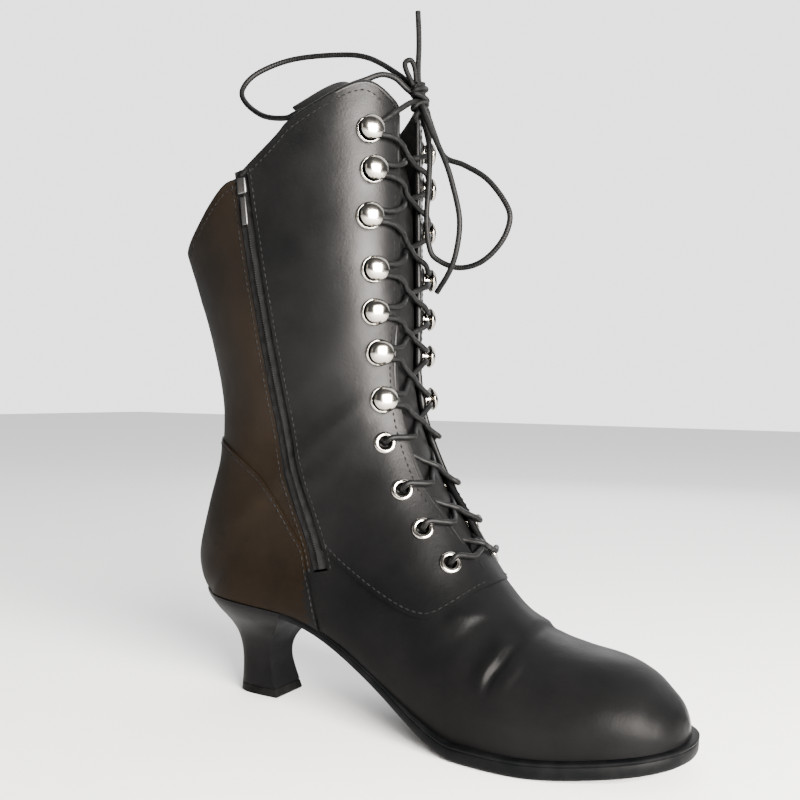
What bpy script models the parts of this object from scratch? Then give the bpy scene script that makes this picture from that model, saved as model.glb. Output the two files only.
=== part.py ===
"""Victorian lace-up boot, left foot, with a spool heel and a zip on its inner side.

Metres, +Z up. The toe points to +X and the boot's left, its outer side, is +Y.
The origin is on the floor, in the middle of the sole's length.
"""

import math

import bmesh
import bpy
import numpy as np
from mathutils import Matrix, Vector

# Driving sizes
LENGTH = 0.248
BALL_WIDTH = 0.084
LEG_HEIGHT = 0.237
SEAT_HEIGHT = 0.0472
SEAT_RISE = 0.0055
TOE_SPRING = 0.0068
CLEARANCE = 0.0003
CENTRE_X = 0.0025
CENTRE_Y = -0.0003

# Sole
FORE_THICKNESS = 0.0072
WAIST_THICKNESS = 0.0036
SOLE_MARGIN_FORE = 0.0032
SOLE_MARGIN_WAIST = 0.0004
SOLE_EDGE_ROUND = 0.0014
WELT_THICKNESS = 0.0021
WELT_GROOVE = 0.0007
WELT_GROOVE_HEIGHT = 0.0007
TREAD_BACK = 0.140
ARCH_EARLY = 0.85
WAIST_TOP = -0.262
TOE_LIFT_START = 0.260

# Upper
WALL = 0.0021
OVERLAY = 0.0009

# Insole and tongue
INSOLE_THICKNESS = 0.0025
INSOLE_INSET = 0.0024
TONGUE_THICKNESS = 0.0016
TONGUE_GAP = 0.0012
TONGUE_HALF_WIDTH = 0.0290
TONGUE_TOP = 0.299
TONGUE_LEAN = 0.028
TONGUE_LEAN_START = 0.235

# Throat
THROAT_WIDTHS = (
    (0.0800, 0.0083), (0.0900, 0.0098), (0.1080, 0.0130), (0.1440, 0.0125), (0.1860, 0.0106),
    (0.2660, 0.0096),
)
TAB_HALF_WIDTH = 0.0072
TAB_TOP = 0.0850
THROAT_FOOT = 0.0735

# Zip, on the inner side
ZIP_WIDTH = 0.0085
ZIP_THICKNESS = 0.0014
ZIP_RECESS = 0.0006

# Heel
HEEL_BASE_WIDTH = 0.0222

# Hooks and eyelets
HOOK_BASE_RADIUS = 0.0062
HOOK_BASE_HEIGHT = 0.0011
HOOK_NECK_RADIUS = 0.0021
HOOK_NECK_HEIGHT = 0.0034
HOOK_DOME_RADIUS = 0.0057
HOOK_DOME_HEIGHT = 0.0031
EYELET_RADIUS = 0.0050
EYELET_BORE = 0.0026
EYELET_BARREL = 0.0032
EYELET_HEIGHT = 0.0010
TRIM_SIDES = 7

# Lace
LACE_DIAMETER = 0.0026
LACE_SIDES = 5
LACE_EDGE_GAP = 0.0011
LACE_DIP = 0.0042
LACE_DIP_RUN = 0.0120
LACE_END_IN = 0.0033
LACE_END_OFF = 0.0019
KNOT_CENTRE = (-0.0056, 0.0, 0.2865)
KNOT_RADII = (0.0044, 0.0050, 0.0085)

# Rows of the section table where other pieces start and end
BREAST_ROW = 12.75
SEAT_END_ROW = 16.45
TONGUE_FIRST_ROW = 8.7
TONGUE_LAST_ROW = 25.55
ZIP_TOP_SHARE = 0.115
TONGUE_CORNER_DROP = 0.26
WAIST_MARGIN_END = -0.05
FORE_MARGIN_START = 0.16
HEEL_SQUARE = 3.4
HEEL_POINTS = 33

# A row for each level of the heel, from the seat down: height in shares of the seat's height, back
# and breast in shares of LENGTH, half width in shares of half HEEL_BASE_WIDTH, and how much of the
# seat's own outline the level keeps.
HEEL_ROWS = (
    (1.000, -0.460, -0.262, 2.20, 1.00),
    (0.960, -0.455, -0.262, 2.20, 0.86),
    (0.860, -0.440, -0.272, 2.00, 0.40),
    (0.740, -0.427, -0.290, 1.55, 0.12),
    (0.620, -0.416, -0.308, 1.18, 0.02),
    (0.490, -0.408, -0.320, 0.95, 0.00),
    (0.350, -0.404, -0.321, 0.86, 0.00),
    (0.180, -0.403, -0.312, 0.92, 0.00),
    (0.000, -0.405, -0.299, 1.00, 0.00),
)

COLUMNS = ("top_x", "top_h", "low_x", "low_h", "in_w", "out_w", "in_f", "out_f", "wide", "full", "mid")

# A row for each section of the upper, from the toe to above the collar. top and low are the
# section's two ends in the side view: x in shares of LENGTH, h in shares of LEG_HEIGHT over
# the sole's line. in_w and out_w are the half widths at the widest place, in_f and out_f those at
# the low end, and mid the sideways shift, all in shares of half BALL_WIDTH. wide is where the
# section is widest, and full how square its upper half is.
SECTIONS = (
    (0.491, 0.026, 0.492, -0.019, 0.05, 0.05, 0.05, 0.05, 0.40, 2.00, -0.06),
    (0.486, 0.040, 0.488, -0.019, 0.20, 0.20, 0.20, 0.20, 0.40, 2.00, -0.06),
    (0.474, 0.062, 0.477, -0.019, 0.35, 0.35, 0.34, 0.34, 0.38, 2.00, -0.06),
    (0.454, 0.083, 0.458, -0.019, 0.50, 0.49, 0.49, 0.48, 0.36, 2.00, -0.05),
    (0.422, 0.112, 0.426, -0.019, 0.65, 0.62, 0.64, 0.61, 0.34, 2.10, -0.04),
    (0.373, 0.137, 0.376, -0.019, 0.80, 0.76, 0.79, 0.75, 0.32, 2.10, -0.02),
    (0.308, 0.154, 0.308, -0.019, 0.94, 0.90, 0.92, 0.88, 0.30, 2.00, 0.00),
    (0.244, 0.174, 0.236, -0.019, 1.00, 1.00, 0.97, 0.97, 0.30, 1.90, 0.00),
    (0.190, 0.211, 0.160, -0.019, 0.98, 1.02, 0.92, 0.97, 0.30, 1.80, 0.00),
    (0.147, 0.260, 0.072, -0.019, 0.90, 0.99, 0.79, 0.90, 0.31, 1.90, 0.00),
    (0.109, 0.312, -0.016, -0.019, 0.82, 0.93, 0.65, 0.80, 0.34, 2.00, 0.00),
    (0.074, 0.357, -0.105, -0.019, 0.78, 0.87, 0.55, 0.70, 0.37, 2.10, 0.00),
    (0.040, 0.397, -0.194, -0.019, 0.76, 0.83, 0.50, 0.63, 0.40, 2.14, 0.00),
    (0.014, 0.439, -0.282, -0.019, 0.76, 0.81, 0.52, 0.61, 0.42, 2.19, 0.00),
    (-0.007, 0.482, -0.371, -0.019, 0.78, 0.81, 0.55, 0.60, 0.43, 2.23, 0.00),
    (-0.020, 0.518, -0.424, -0.019, 0.80, 0.82, 0.42, 0.44, 0.44, 2.27, 0.00),
    (-0.025, 0.541, -0.456, -0.019, 0.81, 0.82, 0.14, 0.14, 0.45, 2.31, 0.00),
    (-0.029, 0.561, -0.479, 0.010, 0.82, 0.82, 0.10, 0.10, 0.45, 2.36, 0.00),
    (-0.032, 0.589, -0.488, 0.066, 0.80, 0.80, 0.10, 0.10, 0.46, 2.40, 0.00),
    (-0.033, 0.622, -0.463, 0.172, 0.79, 0.79, 0.10, 0.10, 0.47, 2.40, 0.00),
    (-0.034, 0.664, -0.437, 0.260, 0.81, 0.81, 0.10, 0.10, 0.48, 2.40, 0.00),
    (-0.035, 0.714, -0.432, 0.366, 0.84, 0.84, 0.10, 0.10, 0.49, 2.40, 0.00),
    (-0.037, 0.777, -0.456, 0.492, 0.89, 0.89, 0.10, 0.10, 0.50, 2.40, 0.00),
    (-0.039, 0.865, -0.506, 0.636, 0.95, 0.95, 0.10, 0.10, 0.50, 2.40, 0.00),
    (-0.041, 0.965, -0.556, 0.779, 1.00, 1.00, 0.10, 0.10, 0.50, 2.40, 0.00),
    (-0.044, 1.083, -0.590, 0.931, 1.04, 1.04, 0.10, 0.10, 0.50, 2.40, 0.00),
    (-0.046, 1.190, -0.620, 1.072, 1.06, 1.06, 0.10, 0.10, 0.50, 2.40, 0.00),
)
LOW_ROUND = 2.2

# A row for each pair of hooks, then of eyelets, from the top: height over the sole's line in shares
# of LEG_HEIGHT, and distance from the middle in shares of half BALL_WIDTH.
HOOK_PLACES = (
    (1.002, 0.600), (0.930, 0.569), (0.840, 0.598), (0.744, 0.550), (0.664, 0.532), (0.590, 0.469), (0.505, 0.448),
)
EYELET_PLACES = (
    (0.430, 0.491), (0.366, 0.501), (0.321, 0.514), (0.285, 0.467),
)

# Points that the free lace follows, from the knot
LOOP_REAR = (
    (-0.0116, 0.0022, 0.2942), (-0.0180, 0.0020, 0.3003), (-0.0341, 0.0010, 0.3103), (-0.0510, 0.0, 0.3140),
    (-0.0752, -0.0040, 0.3141), (-0.0901, -0.0120, 0.3072), (-0.0945, -0.0180, 0.2982),
    (-0.0892, -0.0220, 0.2899), (-0.0735, -0.0290, 0.2800), (-0.0585, -0.0325, 0.2762),
    (-0.0515, -0.0330, 0.2775), (-0.0425, -0.0310, 0.2800), (-0.0370, -0.0270, 0.2848),
    (-0.0300, -0.0240, 0.2892), (-0.0234, -0.0200, 0.2923), (-0.0183, -0.0140, 0.2958),
    (-0.0145, -0.0080, 0.2954), (-0.0125, -0.0032, 0.2918),
)
LOOP_FRONT = (
    (-0.0025, 0.0042, 0.2775), (-0.0005, 0.0045, 0.2720), (0.0049, 0.0050, 0.2602), (0.0146, 0.0060, 0.2555),
    (0.0261, 0.0060, 0.2481), (0.0351, 0.0060, 0.2369), (0.0376, 0.0060, 0.2287), (0.0333, 0.0060, 0.2187),
    (0.0237, 0.0060, 0.2106), (0.0122, 0.0060, 0.2086), (0.0025, 0.0035, 0.2127), (0.0, 0.0008, 0.2180),
    (-0.0008, -0.0010, 0.2309), (0.0003, -0.0012, 0.2480), (0.0003, -0.0012, 0.2632), (-0.0028, -0.0010, 0.2752),
)
END_UP = (
    (-0.0066, 0.0, 0.2970), (-0.0067, 0.0, 0.3035), (-0.0065, 0.0, 0.3114), (-0.0068, 0.0, 0.3200),
    (-0.0073, 0.0, 0.3274),
)
END_DOWN = (
    (-0.0010, -0.0042, 0.2785), (0.0030, -0.0046, 0.2700), (0.0095, -0.0040, 0.2564), (0.0133, -0.0035, 0.2454),
    (0.0169, -0.0030, 0.2296), (0.0154, -0.0020, 0.2164), (0.0112, -0.0005, 0.2064), (0.0028, 0.0035, 0.1973),
)
TABLE = np.array(SECTIONS)
LAST_ROW = len(SECTIONS) - 1

# Ring counts
TOP_STEPS = 7
LOW_STEPS = 6
FLAT_STEPS = 2


def smooth(t):
    """Rise from 0 to 1 with level ends."""
    t = min(max(t, 0.0), 1.0)
    return t * t * (3 - 2 * t)


def sole_line(x):
    """Height of the sole's top face: ball, arch, seat and toe spring."""
    share = min(max(x / LENGTH, -0.5), 0.5)
    run = TREAD_BACK - WAIST_TOP
    t = min(max((TREAD_BACK - share) / run, 0.0), 1.0) ** ARCH_EARLY
    slope = SEAT_RISE / (0.5 + WAIST_TOP)
    arch = (SEAT_HEIGHT - FORE_THICKNESS) * smooth(t) + slope * run * (t ** 3 - t ** 2)
    seat = slope * max(WAIST_TOP - share, 0.0)
    toe = max(share - TOE_LIFT_START, 0.0) / (0.5 - TOE_LIFT_START)
    return FORE_THICKNESS + arch + seat + TOE_SPRING * toe ** 1.4


def sole_thickness(x):
    """The sole thins from the ball to the waist."""
    share = x / LENGTH
    thin = smooth((TREAD_BACK - share) / (TREAD_BACK - WAIST_TOP))
    return FORE_THICKNESS + (WAIST_THICKNESS - FORE_THICKNESS) * thin


def row_at(u):
    """The section table's values at row number u, on a smooth curve through the rows."""
    u = min(max(u, 0.0), float(LAST_ROW))
    i = min(int(u), LAST_ROW - 1)
    t = u - i
    before = TABLE[max(i - 1, 0)]
    here = TABLE[i]
    after = TABLE[i + 1]
    beyond = TABLE[min(i + 2, LAST_ROW)]
    value = 0.5 * (2 * here + (after - before) * t
                   + (2 * before - 5 * here + 4 * after - beyond) * t * t
                   + (3 * here - before - 3 * after + beyond) * t ** 3)
    return dict(zip(COLUMNS, value.tolist()))


def section(u, inset=0.0):
    """Ends, direction, length and half widths of the section at row number u."""
    row = row_at(u)
    top_x = row["top_x"] * LENGTH
    low_x = row["low_x"] * LENGTH
    top = Vector((top_x, sole_line(top_x) + row["top_h"] * LEG_HEIGHT))
    low = Vector((low_x, sole_line(low_x) + row["low_h"] * LEG_HEIGHT))
    length = (top - low).length
    way = (top - low) / length
    half = BALL_WIDTH / 2
    return {
        "low": low + way * inset,
        "way": way,
        "length": length - 2 * inset,
        "wide": row["wide"],
        "full": row["full"],
        "mid": row["mid"] * half,
        -1: (max(row["in_w"] * half - inset, 0.0005), max(row["in_f"] * half - inset * 0.9, 0.0004)),
        1: (max(row["out_w"] * half - inset, 0.0005), max(row["out_f"] * half - inset * 0.9, 0.0004)),
    }


def half_width(cut, side, along):
    """Half width of a section at the share along of its length."""
    widest, foot = cut[side]
    wide = cut["wide"]
    if along >= wide:
        rest = min((along - wide) / (1 - wide), 1.0)
        return widest * (1 - rest ** cut["full"]) ** (1 / cut["full"])
    rest = min((wide - along) / wide, 1.0)
    return foot + (widest - foot) * (1 - rest ** LOW_ROUND) ** (1 / LOW_ROUND)


def ring(u, inset=0.0):
    """Points of one section, round from the low middle by the outer side and the top."""
    cut = section(u, inset)
    shape = []
    for side in (1, -1):
        widest, foot = cut[side]
        part = []
        for k in range(FLAT_STEPS):
            part.append((foot * k / FLAT_STEPS, 0.0))
        for k in range(LOW_STEPS):
            turn = math.pi / 2 * (1 - k / LOW_STEPS)
            width = foot + (widest - foot) * math.cos(turn) ** (2 / LOW_ROUND)
            part.append((width, cut["wide"] * (1 - math.sin(turn) ** (2 / LOW_ROUND))))
        for k in range(TOP_STEPS + 1):
            turn = math.pi / 2 * k / TOP_STEPS
            width = widest * max(math.cos(turn), 0.0) ** (2 / cut["full"])
            part.append((width, cut["wide"] + (1 - cut["wide"]) * math.sin(turn) ** (2 / cut["full"])))
        shape.append([(side * w, a) for w, a in part])
    outer, inner = shape
    loop = outer[:-1] + inner[:0:-1]
    points = []
    for width, along in loop:
        spot = cut["low"] + cut["way"] * cut["length"] * along
        points.append((spot[0], cut["mid"] + width, spot[1]))
    return points


def row_through(x, z):
    """The row number of the section plane that holds the point x, z of the side view."""
    low, high = 0.0, float(LAST_ROW)
    for _ in range(20):
        middle = (low + high) / 2
        cut = section(middle)
        across = cut["way"][0] * (z - cut["low"][1]) - cut["way"][1] * (x - cut["low"][0])
        if across > 0:
            low = middle
        else:
            high = middle
    return (low + high) / 2


def side_y(x, z, side, inset=0.0):
    """Y of the upper's surface at x, z of the side view."""
    cut = section(row_through(x, z), inset)
    along = ((x - cut["low"][0]) * cut["way"][0] + (z - cut["low"][1]) * cut["way"][1]) / cut["length"]
    if along <= 0 or along >= 1:
        return cut["mid"]
    return cut["mid"] + side * half_width(cut, side, along)


def front_x(y, z, inset=0.0):
    """X of the upper's front surface at height z and sideways place y."""
    side = 1 if y >= 0 else -1
    low, high = -0.060, 0.125
    for _ in range(20):
        middle = (low + high) / 2
        if (side_y(middle, z, side, inset) - y) * side > 0:
            low = middle
        else:
            high = middle
    return (low + high) / 2


def front_frame(y, z, inset=0.0):
    """A point of the front surface and its outward normal."""
    step = 0.0008
    here = Vector((front_x(y, z, inset), y, z))
    dy = Vector((front_x(y + step, z, inset) - front_x(y - step, z, inset), 2 * step, 0))
    dz = Vector((front_x(y, z + step, inset) - front_x(y, z - step, inset), 0, 2 * step))
    return here, dy.cross(dz).normalized()


def material(name, colour, roughness, metallic=0.0):
    """A plain finish."""
    made = bpy.data.materials.new(name)
    made.use_nodes = True
    shader = made.node_tree.nodes["Principled BSDF"]
    shader.inputs["Base Color"].default_value = (*colour, 1.0)
    shader.inputs["Roughness"].default_value = roughness
    shader.inputs["Metallic"].default_value = metallic
    return made


def add_object(name, points, faces, finish):
    """A mesh object with its faces pointing outwards."""
    mesh = bpy.data.meshes.new(name)
    mesh.from_pydata([tuple(p) for p in points], [], faces)
    work = bmesh.new()
    work.from_mesh(mesh)
    bmesh.ops.recalc_face_normals(work, faces=work.faces)
    if work.calc_volume(signed=True) < 0:
        bmesh.ops.reverse_faces(work, faces=work.faces)
    work.to_mesh(mesh)
    work.free()
    mesh.shade_smooth()
    mesh.set_sharp_from_angle(angle=math.radians(40))
    made = bpy.data.objects.new(name, mesh)
    bpy.context.collection.objects.link(made)
    if finish is not None:
        made.data.materials.append(finish)
    return made


def loft(name, rings, finish):
    """Join rings of equal count and close both ends."""
    count = len(rings[0])
    points = [p for one in rings for p in one]
    faces = []
    for i in range(len(rings) - 1):
        for j in range(count):
            a = i * count + j
            b = i * count + (j + 1) % count
            faces.append((a, b, b + count, a + count))
    faces.append(tuple(range(count)))
    faces.append(tuple(range(len(points) - count, len(points))))
    return add_object(name, points, faces, finish)


def prism(name, outline, axis, start, end):
    """A cutter: an outline in the plane across axis, drawn out from start to end."""
    def place(a, b, depth):
        return {"y": (a, depth, b), "x": (depth, a, b)}[axis]
    count = len(outline)
    points = [place(a, b, start) for a, b in outline] + [place(a, b, end) for a, b in outline]
    faces = [(j, (j + 1) % count, (j + 1) % count + count, j + count) for j in range(count)]
    faces.append(tuple(range(count)))
    faces.append(tuple(range(count, 2 * count)))
    made = add_object(name, points, faces, None)
    return as_guide(made)


def as_guide(made):
    """Mark an object as a cutter."""
    made.hide_render = True
    made.display_type = "WIRE"
    return made


def cut_with(target, cutter, operation="DIFFERENCE"):
    """Add a Boolean."""
    change = target.modifiers.new(cutter.name, "BOOLEAN")
    change.operation = operation
    change.object = cutter
    change.solver = "EXACT"
    return target


def rows(start, end, count):
    """Evenly spaced row numbers."""
    return [start + (end - start) * k / (count - 1) for k in range(count)]


# Side-view lines, in shares of LENGTH and of LEG_HEIGHT over the sole's line
COLLAR = (
    (0.300, 1.040), (-0.042, 1.045), (-0.050, 1.075), (-0.066, 1.090), (-0.083, 1.086), (-0.110, 1.056),
    (-0.155, 1.004), (-0.205, 0.955), (-0.224, 0.925), (-0.296, 0.859), (-0.318, 0.839), (-0.345, 0.834),
    (-0.387, 0.793), (-0.429, 0.748), (-0.484, 0.705), (-0.550, 0.680), (-0.800, 0.680),
)
QUARTER_SEAM = (
    (0.190, 0.300), (0.158, 0.258), (0.140, 0.251), (0.110, 0.218), (0.078, 0.184), (0.052, 0.172),
    (0.021, 0.164), (-0.032, 0.159), (-0.076, 0.160), (-0.115, 0.166), (-0.138, 0.176),
)
COUNTER_SEAM = (
    (-0.700, 0.340), (-0.440, 0.330), (-0.364, 0.309), (-0.314, 0.288), (-0.260, 0.257),
    (-0.203, 0.171), (-0.186, 0.155), (-0.181, 0.118), (-0.168, 0.077), (-0.148, -0.100), (-0.700, -0.100),
)
ZIP_LINE = (
    (-0.320, 0.960), (-0.303, 0.835), (-0.290, 0.730), (-0.271, 0.600), (-0.248, 0.465), (-0.219, 0.329),
    (-0.184, 0.225), (-0.159, 0.172), (-0.147, 0.125),
)


def side_points(table):
    """A side-view line in metres."""
    return [(x * LENGTH, sole_line(x * LENGTH) + h * LEG_HEIGHT) for x, h in table]


def zip_station(share):
    """Centre of the zip in the side view and the direction across it."""
    line = side_points(ZIP_LINE)
    place = share * (len(line) - 1)
    i = min(int(place), len(line) - 2)
    t = place - i
    a, b = np.array(line[i]), np.array(line[i + 1])
    along = (b - a) / np.linalg.norm(b - a)
    return a + (b - a) * t, np.array([-along[1], along[0]])


def zip_band(half, first, last, count):
    """Outline of the zip's band in the side view."""
    edges = ([], [])
    for share in rows(first, last, count):
        centre, across = zip_station(share)
        edges[0].append(tuple(centre + across * half))
        edges[1].append(tuple(centre - across * half))
    return edges


def make_upper(leather):
    """Vamp, quarters, back panel and counter as one hollow wall."""
    ring_rows = rows(0, 9, 19) + rows(10, LAST_ROW, LAST_ROW - 9)
    upper = loft("upper", [ring(u) for u in ring_rows], leather)

    quarter_rows = rows(6.1, LAST_ROW - 0.3, 22)
    quarter = as_guide(loft("form_quarter", [ring(u, -OVERLAY) for u in quarter_rows], leather))
    region = side_points(QUARTER_SEAM) + side_points(ZIP_LINE)[::-1] + [(-0.0857, 0.360), (0.120, 0.360)]
    cut_with(quarter, prism("cut_quarter", region, "y", -0.1, 0.1), "INTERSECT")
    cut_with(upper, quarter, "UNION")

    counter = as_guide(loft("form_counter", [ring(u, -OVERLAY) for u in rows(11.2, 24.3, 14)], leather))
    cut_with(counter, prism("cut_counter", side_points(COUNTER_SEAM), "y", -0.1, 0.1), "INTERSECT")
    cut_with(upper, counter, "UNION")

    stations = [LENGTH * (-0.62 + 1.24 * k / 90) for k in range(91)]
    floor = [(x, sole_line(x) + CLEARANCE) for x in stations]
    floor += [(stations[-1], -0.05), (stations[0], -0.05)]
    cut_with(upper, prism("cut_sole", floor, "y", -0.1, 0.1))

    sky = side_points(COLLAR) + [(-0.2, 0.5), (0.1, 0.5)]
    cut_with(upper, prism("cut_collar", sky, "y", -0.1, 0.1))

    hollow = as_guide(loft("form_inside", [ring(u, WALL) for u in rows(1.7, LAST_ROW - 0.15, 22)], leather))
    cut_with(upper, hollow)

    cut_with(upper, prism("cut_throat", throat_outline(), "x", -0.045, 0.1))
    rear, front = zip_band(ZIP_WIDTH / 2, 0.0, 1.0, 9)
    cut_with(upper, prism("cut_zip", rear + front[::-1], "y", -0.1, -0.008))
    cut_with(upper, eyelet_holes())
    return upper


def throat_half(z):
    """Half width of the throat, which is widest at the ankle and narrowest at its foot."""
    return float(np.interp(z, [height for height, _ in THROAT_WIDTHS], [half for _, half in THROAT_WIDTHS]))


def throat_outline():
    """Front view of the opening, with the tab of the vamp standing in its foot."""
    tab = []
    for k in range(9):
        turn = math.pi * k / 8
        tab.append((-TAB_HALF_WIDTH * math.cos(turn),
                    THROAT_FOOT + (TAB_TOP - THROAT_FOOT) * math.sin(turn) ** 0.6))
    levels = [0.5] + [height for height, _ in reversed(THROAT_WIDTHS)]
    left = [(-throat_half(z), z) for z in levels]
    right = [(-y, z) for y, z in reversed(left)]
    return left + tab + right


def feather(inset=0.0, first=0.35, last=16.4, count=40):
    """Where the upper meets the sole: outer side, toe, inner side, as points x, y."""
    sides = {1: [], -1: []}
    for u in rows(first, last, count):
        cut = section(u, inset)
        for side in (1, -1):
            along = meet_share(cut)
            spot = cut["low"] + cut["way"] * cut["length"] * along
            sides[side].append((spot[0], cut["mid"] + side * half_width(cut, side, along)))
    return sides


def meet_share(cut):
    """Share of a section's length at which it crosses the sole's line."""
    low, high = 0.0, 0.5
    for _ in range(30):
        middle = (low + high) / 2
        spot = cut["low"] + cut["way"] * cut["length"] * middle
        if spot[1] < sole_line(spot[0]) + CLEARANCE:
            low = middle
        else:
            high = middle
    return (low + high) / 2


def offset_line(points, distances):
    """Move an open line to its left by a distance for each point."""
    moved = []
    last = len(points) - 1
    for i, (x, y) in enumerate(points):
        ahead = points[min(i + 1, last)]
        behind = points[max(i - 1, 0)]
        way = Vector((ahead[0] - behind[0], ahead[1] - behind[1])).normalized()
        moved.append((x - way.y * distances[i], y + way.x * distances[i]))
    return moved


def feather_line(last, count):
    """Edge of the upper on the sole, from the outer side at the back, by the toe, to the inner side."""
    sides = feather(first=0.0, last=last, count=count)
    return sides[1][::-1] + sides[-1]


def slab(name, loops, finish):
    """A closed body from outlines one over the other, its faces paired across the middle."""
    count = len(loops[0])
    points = [p for loop in loops for p in loop]
    faces = []
    for i in range(len(loops) - 1):
        for j in range(count):
            a = i * count + j
            b = i * count + (j + 1) % count
            faces.append((a, b, b + count, a + count))
    for start in (0, len(points) - count):
        for j in range(count // 2 - 1):
            faces.append((start + j, start + j + 1, start + count - 2 - j, start + count - 1 - j))
    return add_object(name, points, faces, finish)


def sole_margin(x):
    """How far the sole stands out past the upper."""
    forward = smooth((x / LENGTH - WAIST_MARGIN_END) / (FORE_MARGIN_START - WAIST_MARGIN_END))
    return SOLE_MARGIN_WAIST + (SOLE_MARGIN_FORE - SOLE_MARGIN_WAIST) * forward


def make_outsole(rubber):
    """Forepart and waist of the sole, with its welt, groove and rounded edge."""
    edge = feather_line(BREAST_ROW, 33)
    wide = offset_line(edge, [sole_margin(x) for x, _ in edge])
    levels = []
    for x, _ in wide:
        scale = sole_thickness(x) / FORE_THICKNESS
        welt = WELT_THICKNESS * scale
        groove = WELT_GROOVE_HEIGHT * scale
        depth = sole_thickness(x)
        levels.append((0.0, welt, welt + groove * 0.3, welt + groove, welt + groove * 1.3,
                       depth - SOLE_EDGE_ROUND, depth))
    insets = (0.0, 0.0, WELT_GROOVE, WELT_GROOVE, 0.0, 0.0003, SOLE_EDGE_ROUND)
    loops = []
    for k, inset in enumerate(insets):
        line = offset_line(wide, [-inset] * len(wide))
        loops.append([(x, y, sole_line(wide[i][0]) - levels[i][k]) for i, (x, y) in enumerate(line)])
    return slab("outsole", loops, rubber)


def make_insole(lining):
    """Sock on the sole inside the upper, from heel to toe."""
    edge = feather_line(SEAT_END_ROW, 38)
    loops = []
    for rise, inset in ((2 * CLEARANCE, 0.0), (2 * CLEARANCE + INSOLE_THICKNESS, 0.0006)):
        line = offset_line(edge, [-WALL - INSOLE_INSET - inset] * len(edge))
        loops.append([(x, y, sole_line(x) + rise) for x, y in line])
    return slab("insole", loops, lining)


def resample(points, count):
    """Points at even steps of a line's length."""
    line = np.array(points)
    steps = np.concatenate([[0.0], np.cumsum(np.linalg.norm(np.diff(line, axis=0), axis=1))])
    wanted = np.linspace(0, steps[-1], count)
    return [(float(np.interp(w, steps, line[:, 0])), float(np.interp(w, steps, line[:, 1]))) for w in wanted]


def heel_column(back, front, half, count):
    """A D-shaped outline: straight breast, rounded back."""
    points = []
    steps = count // 2
    for j in range(steps + 1):
        share = math.sin(math.pi / 2 * j / steps)
        width = half * (1 - share ** HEEL_SQUARE) ** (1 / HEEL_SQUARE)
        points.append((front + (back - front) * share, width))
    points = points + [(x, -y) for x, y in points[-2::-1]]
    return resample(points, count)


def make_heel(rubber):
    """Spool heel: wide seat, narrow waist, flared foot."""
    seat = feather(first=BREAST_ROW, last=SEAT_END_ROW, count=24)
    line = seat[1] + seat[-1][::-1]
    line = offset_line(line, [-OVERLAY - CLEARANCE] * len(line))
    front = line[0][0] - 2 * CLEARANCE
    line = [(min(x, front), y) for x, y in line]
    seat_loop = resample(line, HEEL_POINTS)
    loops = []
    for height, back, breast, half, blend in HEEL_ROWS:
        column = heel_column(back * LENGTH, breast * LENGTH, half * HEEL_BASE_WIDTH / 2, HEEL_POINTS)
        loop = []
        for (sx, sy), (cx, cy) in zip(seat_loop, column):
            x = sx * blend + cx * (1 - blend)
            y = sy * blend + cy * (1 - blend)
            loop.append((x, y, height * (sole_line(x) - CLEARANCE)))
        loops.append(loop)
    count = len(loops[0])
    points = [p for loop in loops for p in loop]
    faces = []
    for i in range(len(loops) - 1):
        for j in range(count):
            a = i * count + j
            b = i * count + (j + 1) % count
            faces.append((a, b, b + count, a + count))
    for start in (0, len(points) - count):
        half = count // 2
        for j in range(half - 1):
            faces.append((start + j, start + j + 1, start + count - 2 - j, start + count - 1 - j))
        faces.append((start + half - 1, start + half, start + half + 1))
    return add_object("heel", points, faces, rubber)


def tongue_point(u, y, inset):
    """A point of the tongue: under the upper's front, leaning back above the ankle."""
    cut = section(u, inset)
    side = 1 if y >= 0 else -1
    widest = cut[side][0]
    share = min(abs(y - cut["mid"]) / widest, 0.97)
    along = cut["wide"] + (1 - cut["wide"]) * (1 - share ** cut["full"]) ** (1 / cut["full"])
    spot = cut["low"] + cut["way"] * cut["length"] * along
    x, z = spot
    if z > TONGUE_LEAN_START:
        rise = (z - TONGUE_LEAN_START) / (TONGUE_TOP - TONGUE_LEAN_START)
        x -= TONGUE_LEAN * rise * rise
        z = TONGUE_LEAN_START + (z - TONGUE_LEAN_START) * (1 - TONGUE_CORNER_DROP * (y / TONGUE_HALF_WIDTH) ** 2)
    return (x, y, z)


def make_tongue(leather):
    """Bent sheet behind the throat."""
    rings = []
    for u in rows(TONGUE_FIRST_ROW, TONGUE_LAST_ROW, 16):
        room = min(section(u, WALL)[-1][0], section(u, WALL)[1][0])
        half = min(TONGUE_HALF_WIDTH, room * 0.80)
        spread = [half * (-1 + 2 * k / 8) for k in range(9)]
        outer = [tongue_point(u, y, WALL + TONGUE_GAP) for y in spread]
        inner = [tongue_point(u, y, WALL + TONGUE_GAP + TONGUE_THICKNESS) for y in reversed(spread)]
        rings.append(outer + inner)
    return loft("tongue", rings, leather)


def make_zip(tape):
    """Tape and closed teeth in the slot of the inner side."""
    half = ZIP_WIDTH / 2 - CLEARANCE
    rings = []
    for share in rows(ZIP_TOP_SHARE, 0.995, 16):
        centre, across = zip_station(share)
        outer = []
        inner = []
        for step in (-1, 0, 1):
            x, z = centre + across * half * step
            outer.append((x, side_y(x, z, -1, ZIP_RECESS), z))
            inner.append((x, side_y(x, z, -1, ZIP_RECESS) + ZIP_THICKNESS, z))
        rings.append(outer + inner[::-1])
    return loft("zip", rings, tape)


def front_spot(place, side):
    """A point on the front's edge and its outward direction."""
    height, share = place
    y = side * share * BALL_WIDTH / 2
    z = FORE_THICKNESS + height * LEG_HEIGHT
    for _ in range(4):
        z = sole_line(front_x(y, z, -OVERLAY)) + height * LEG_HEIGHT
    return front_frame(y, z, -OVERLAY)


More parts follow.
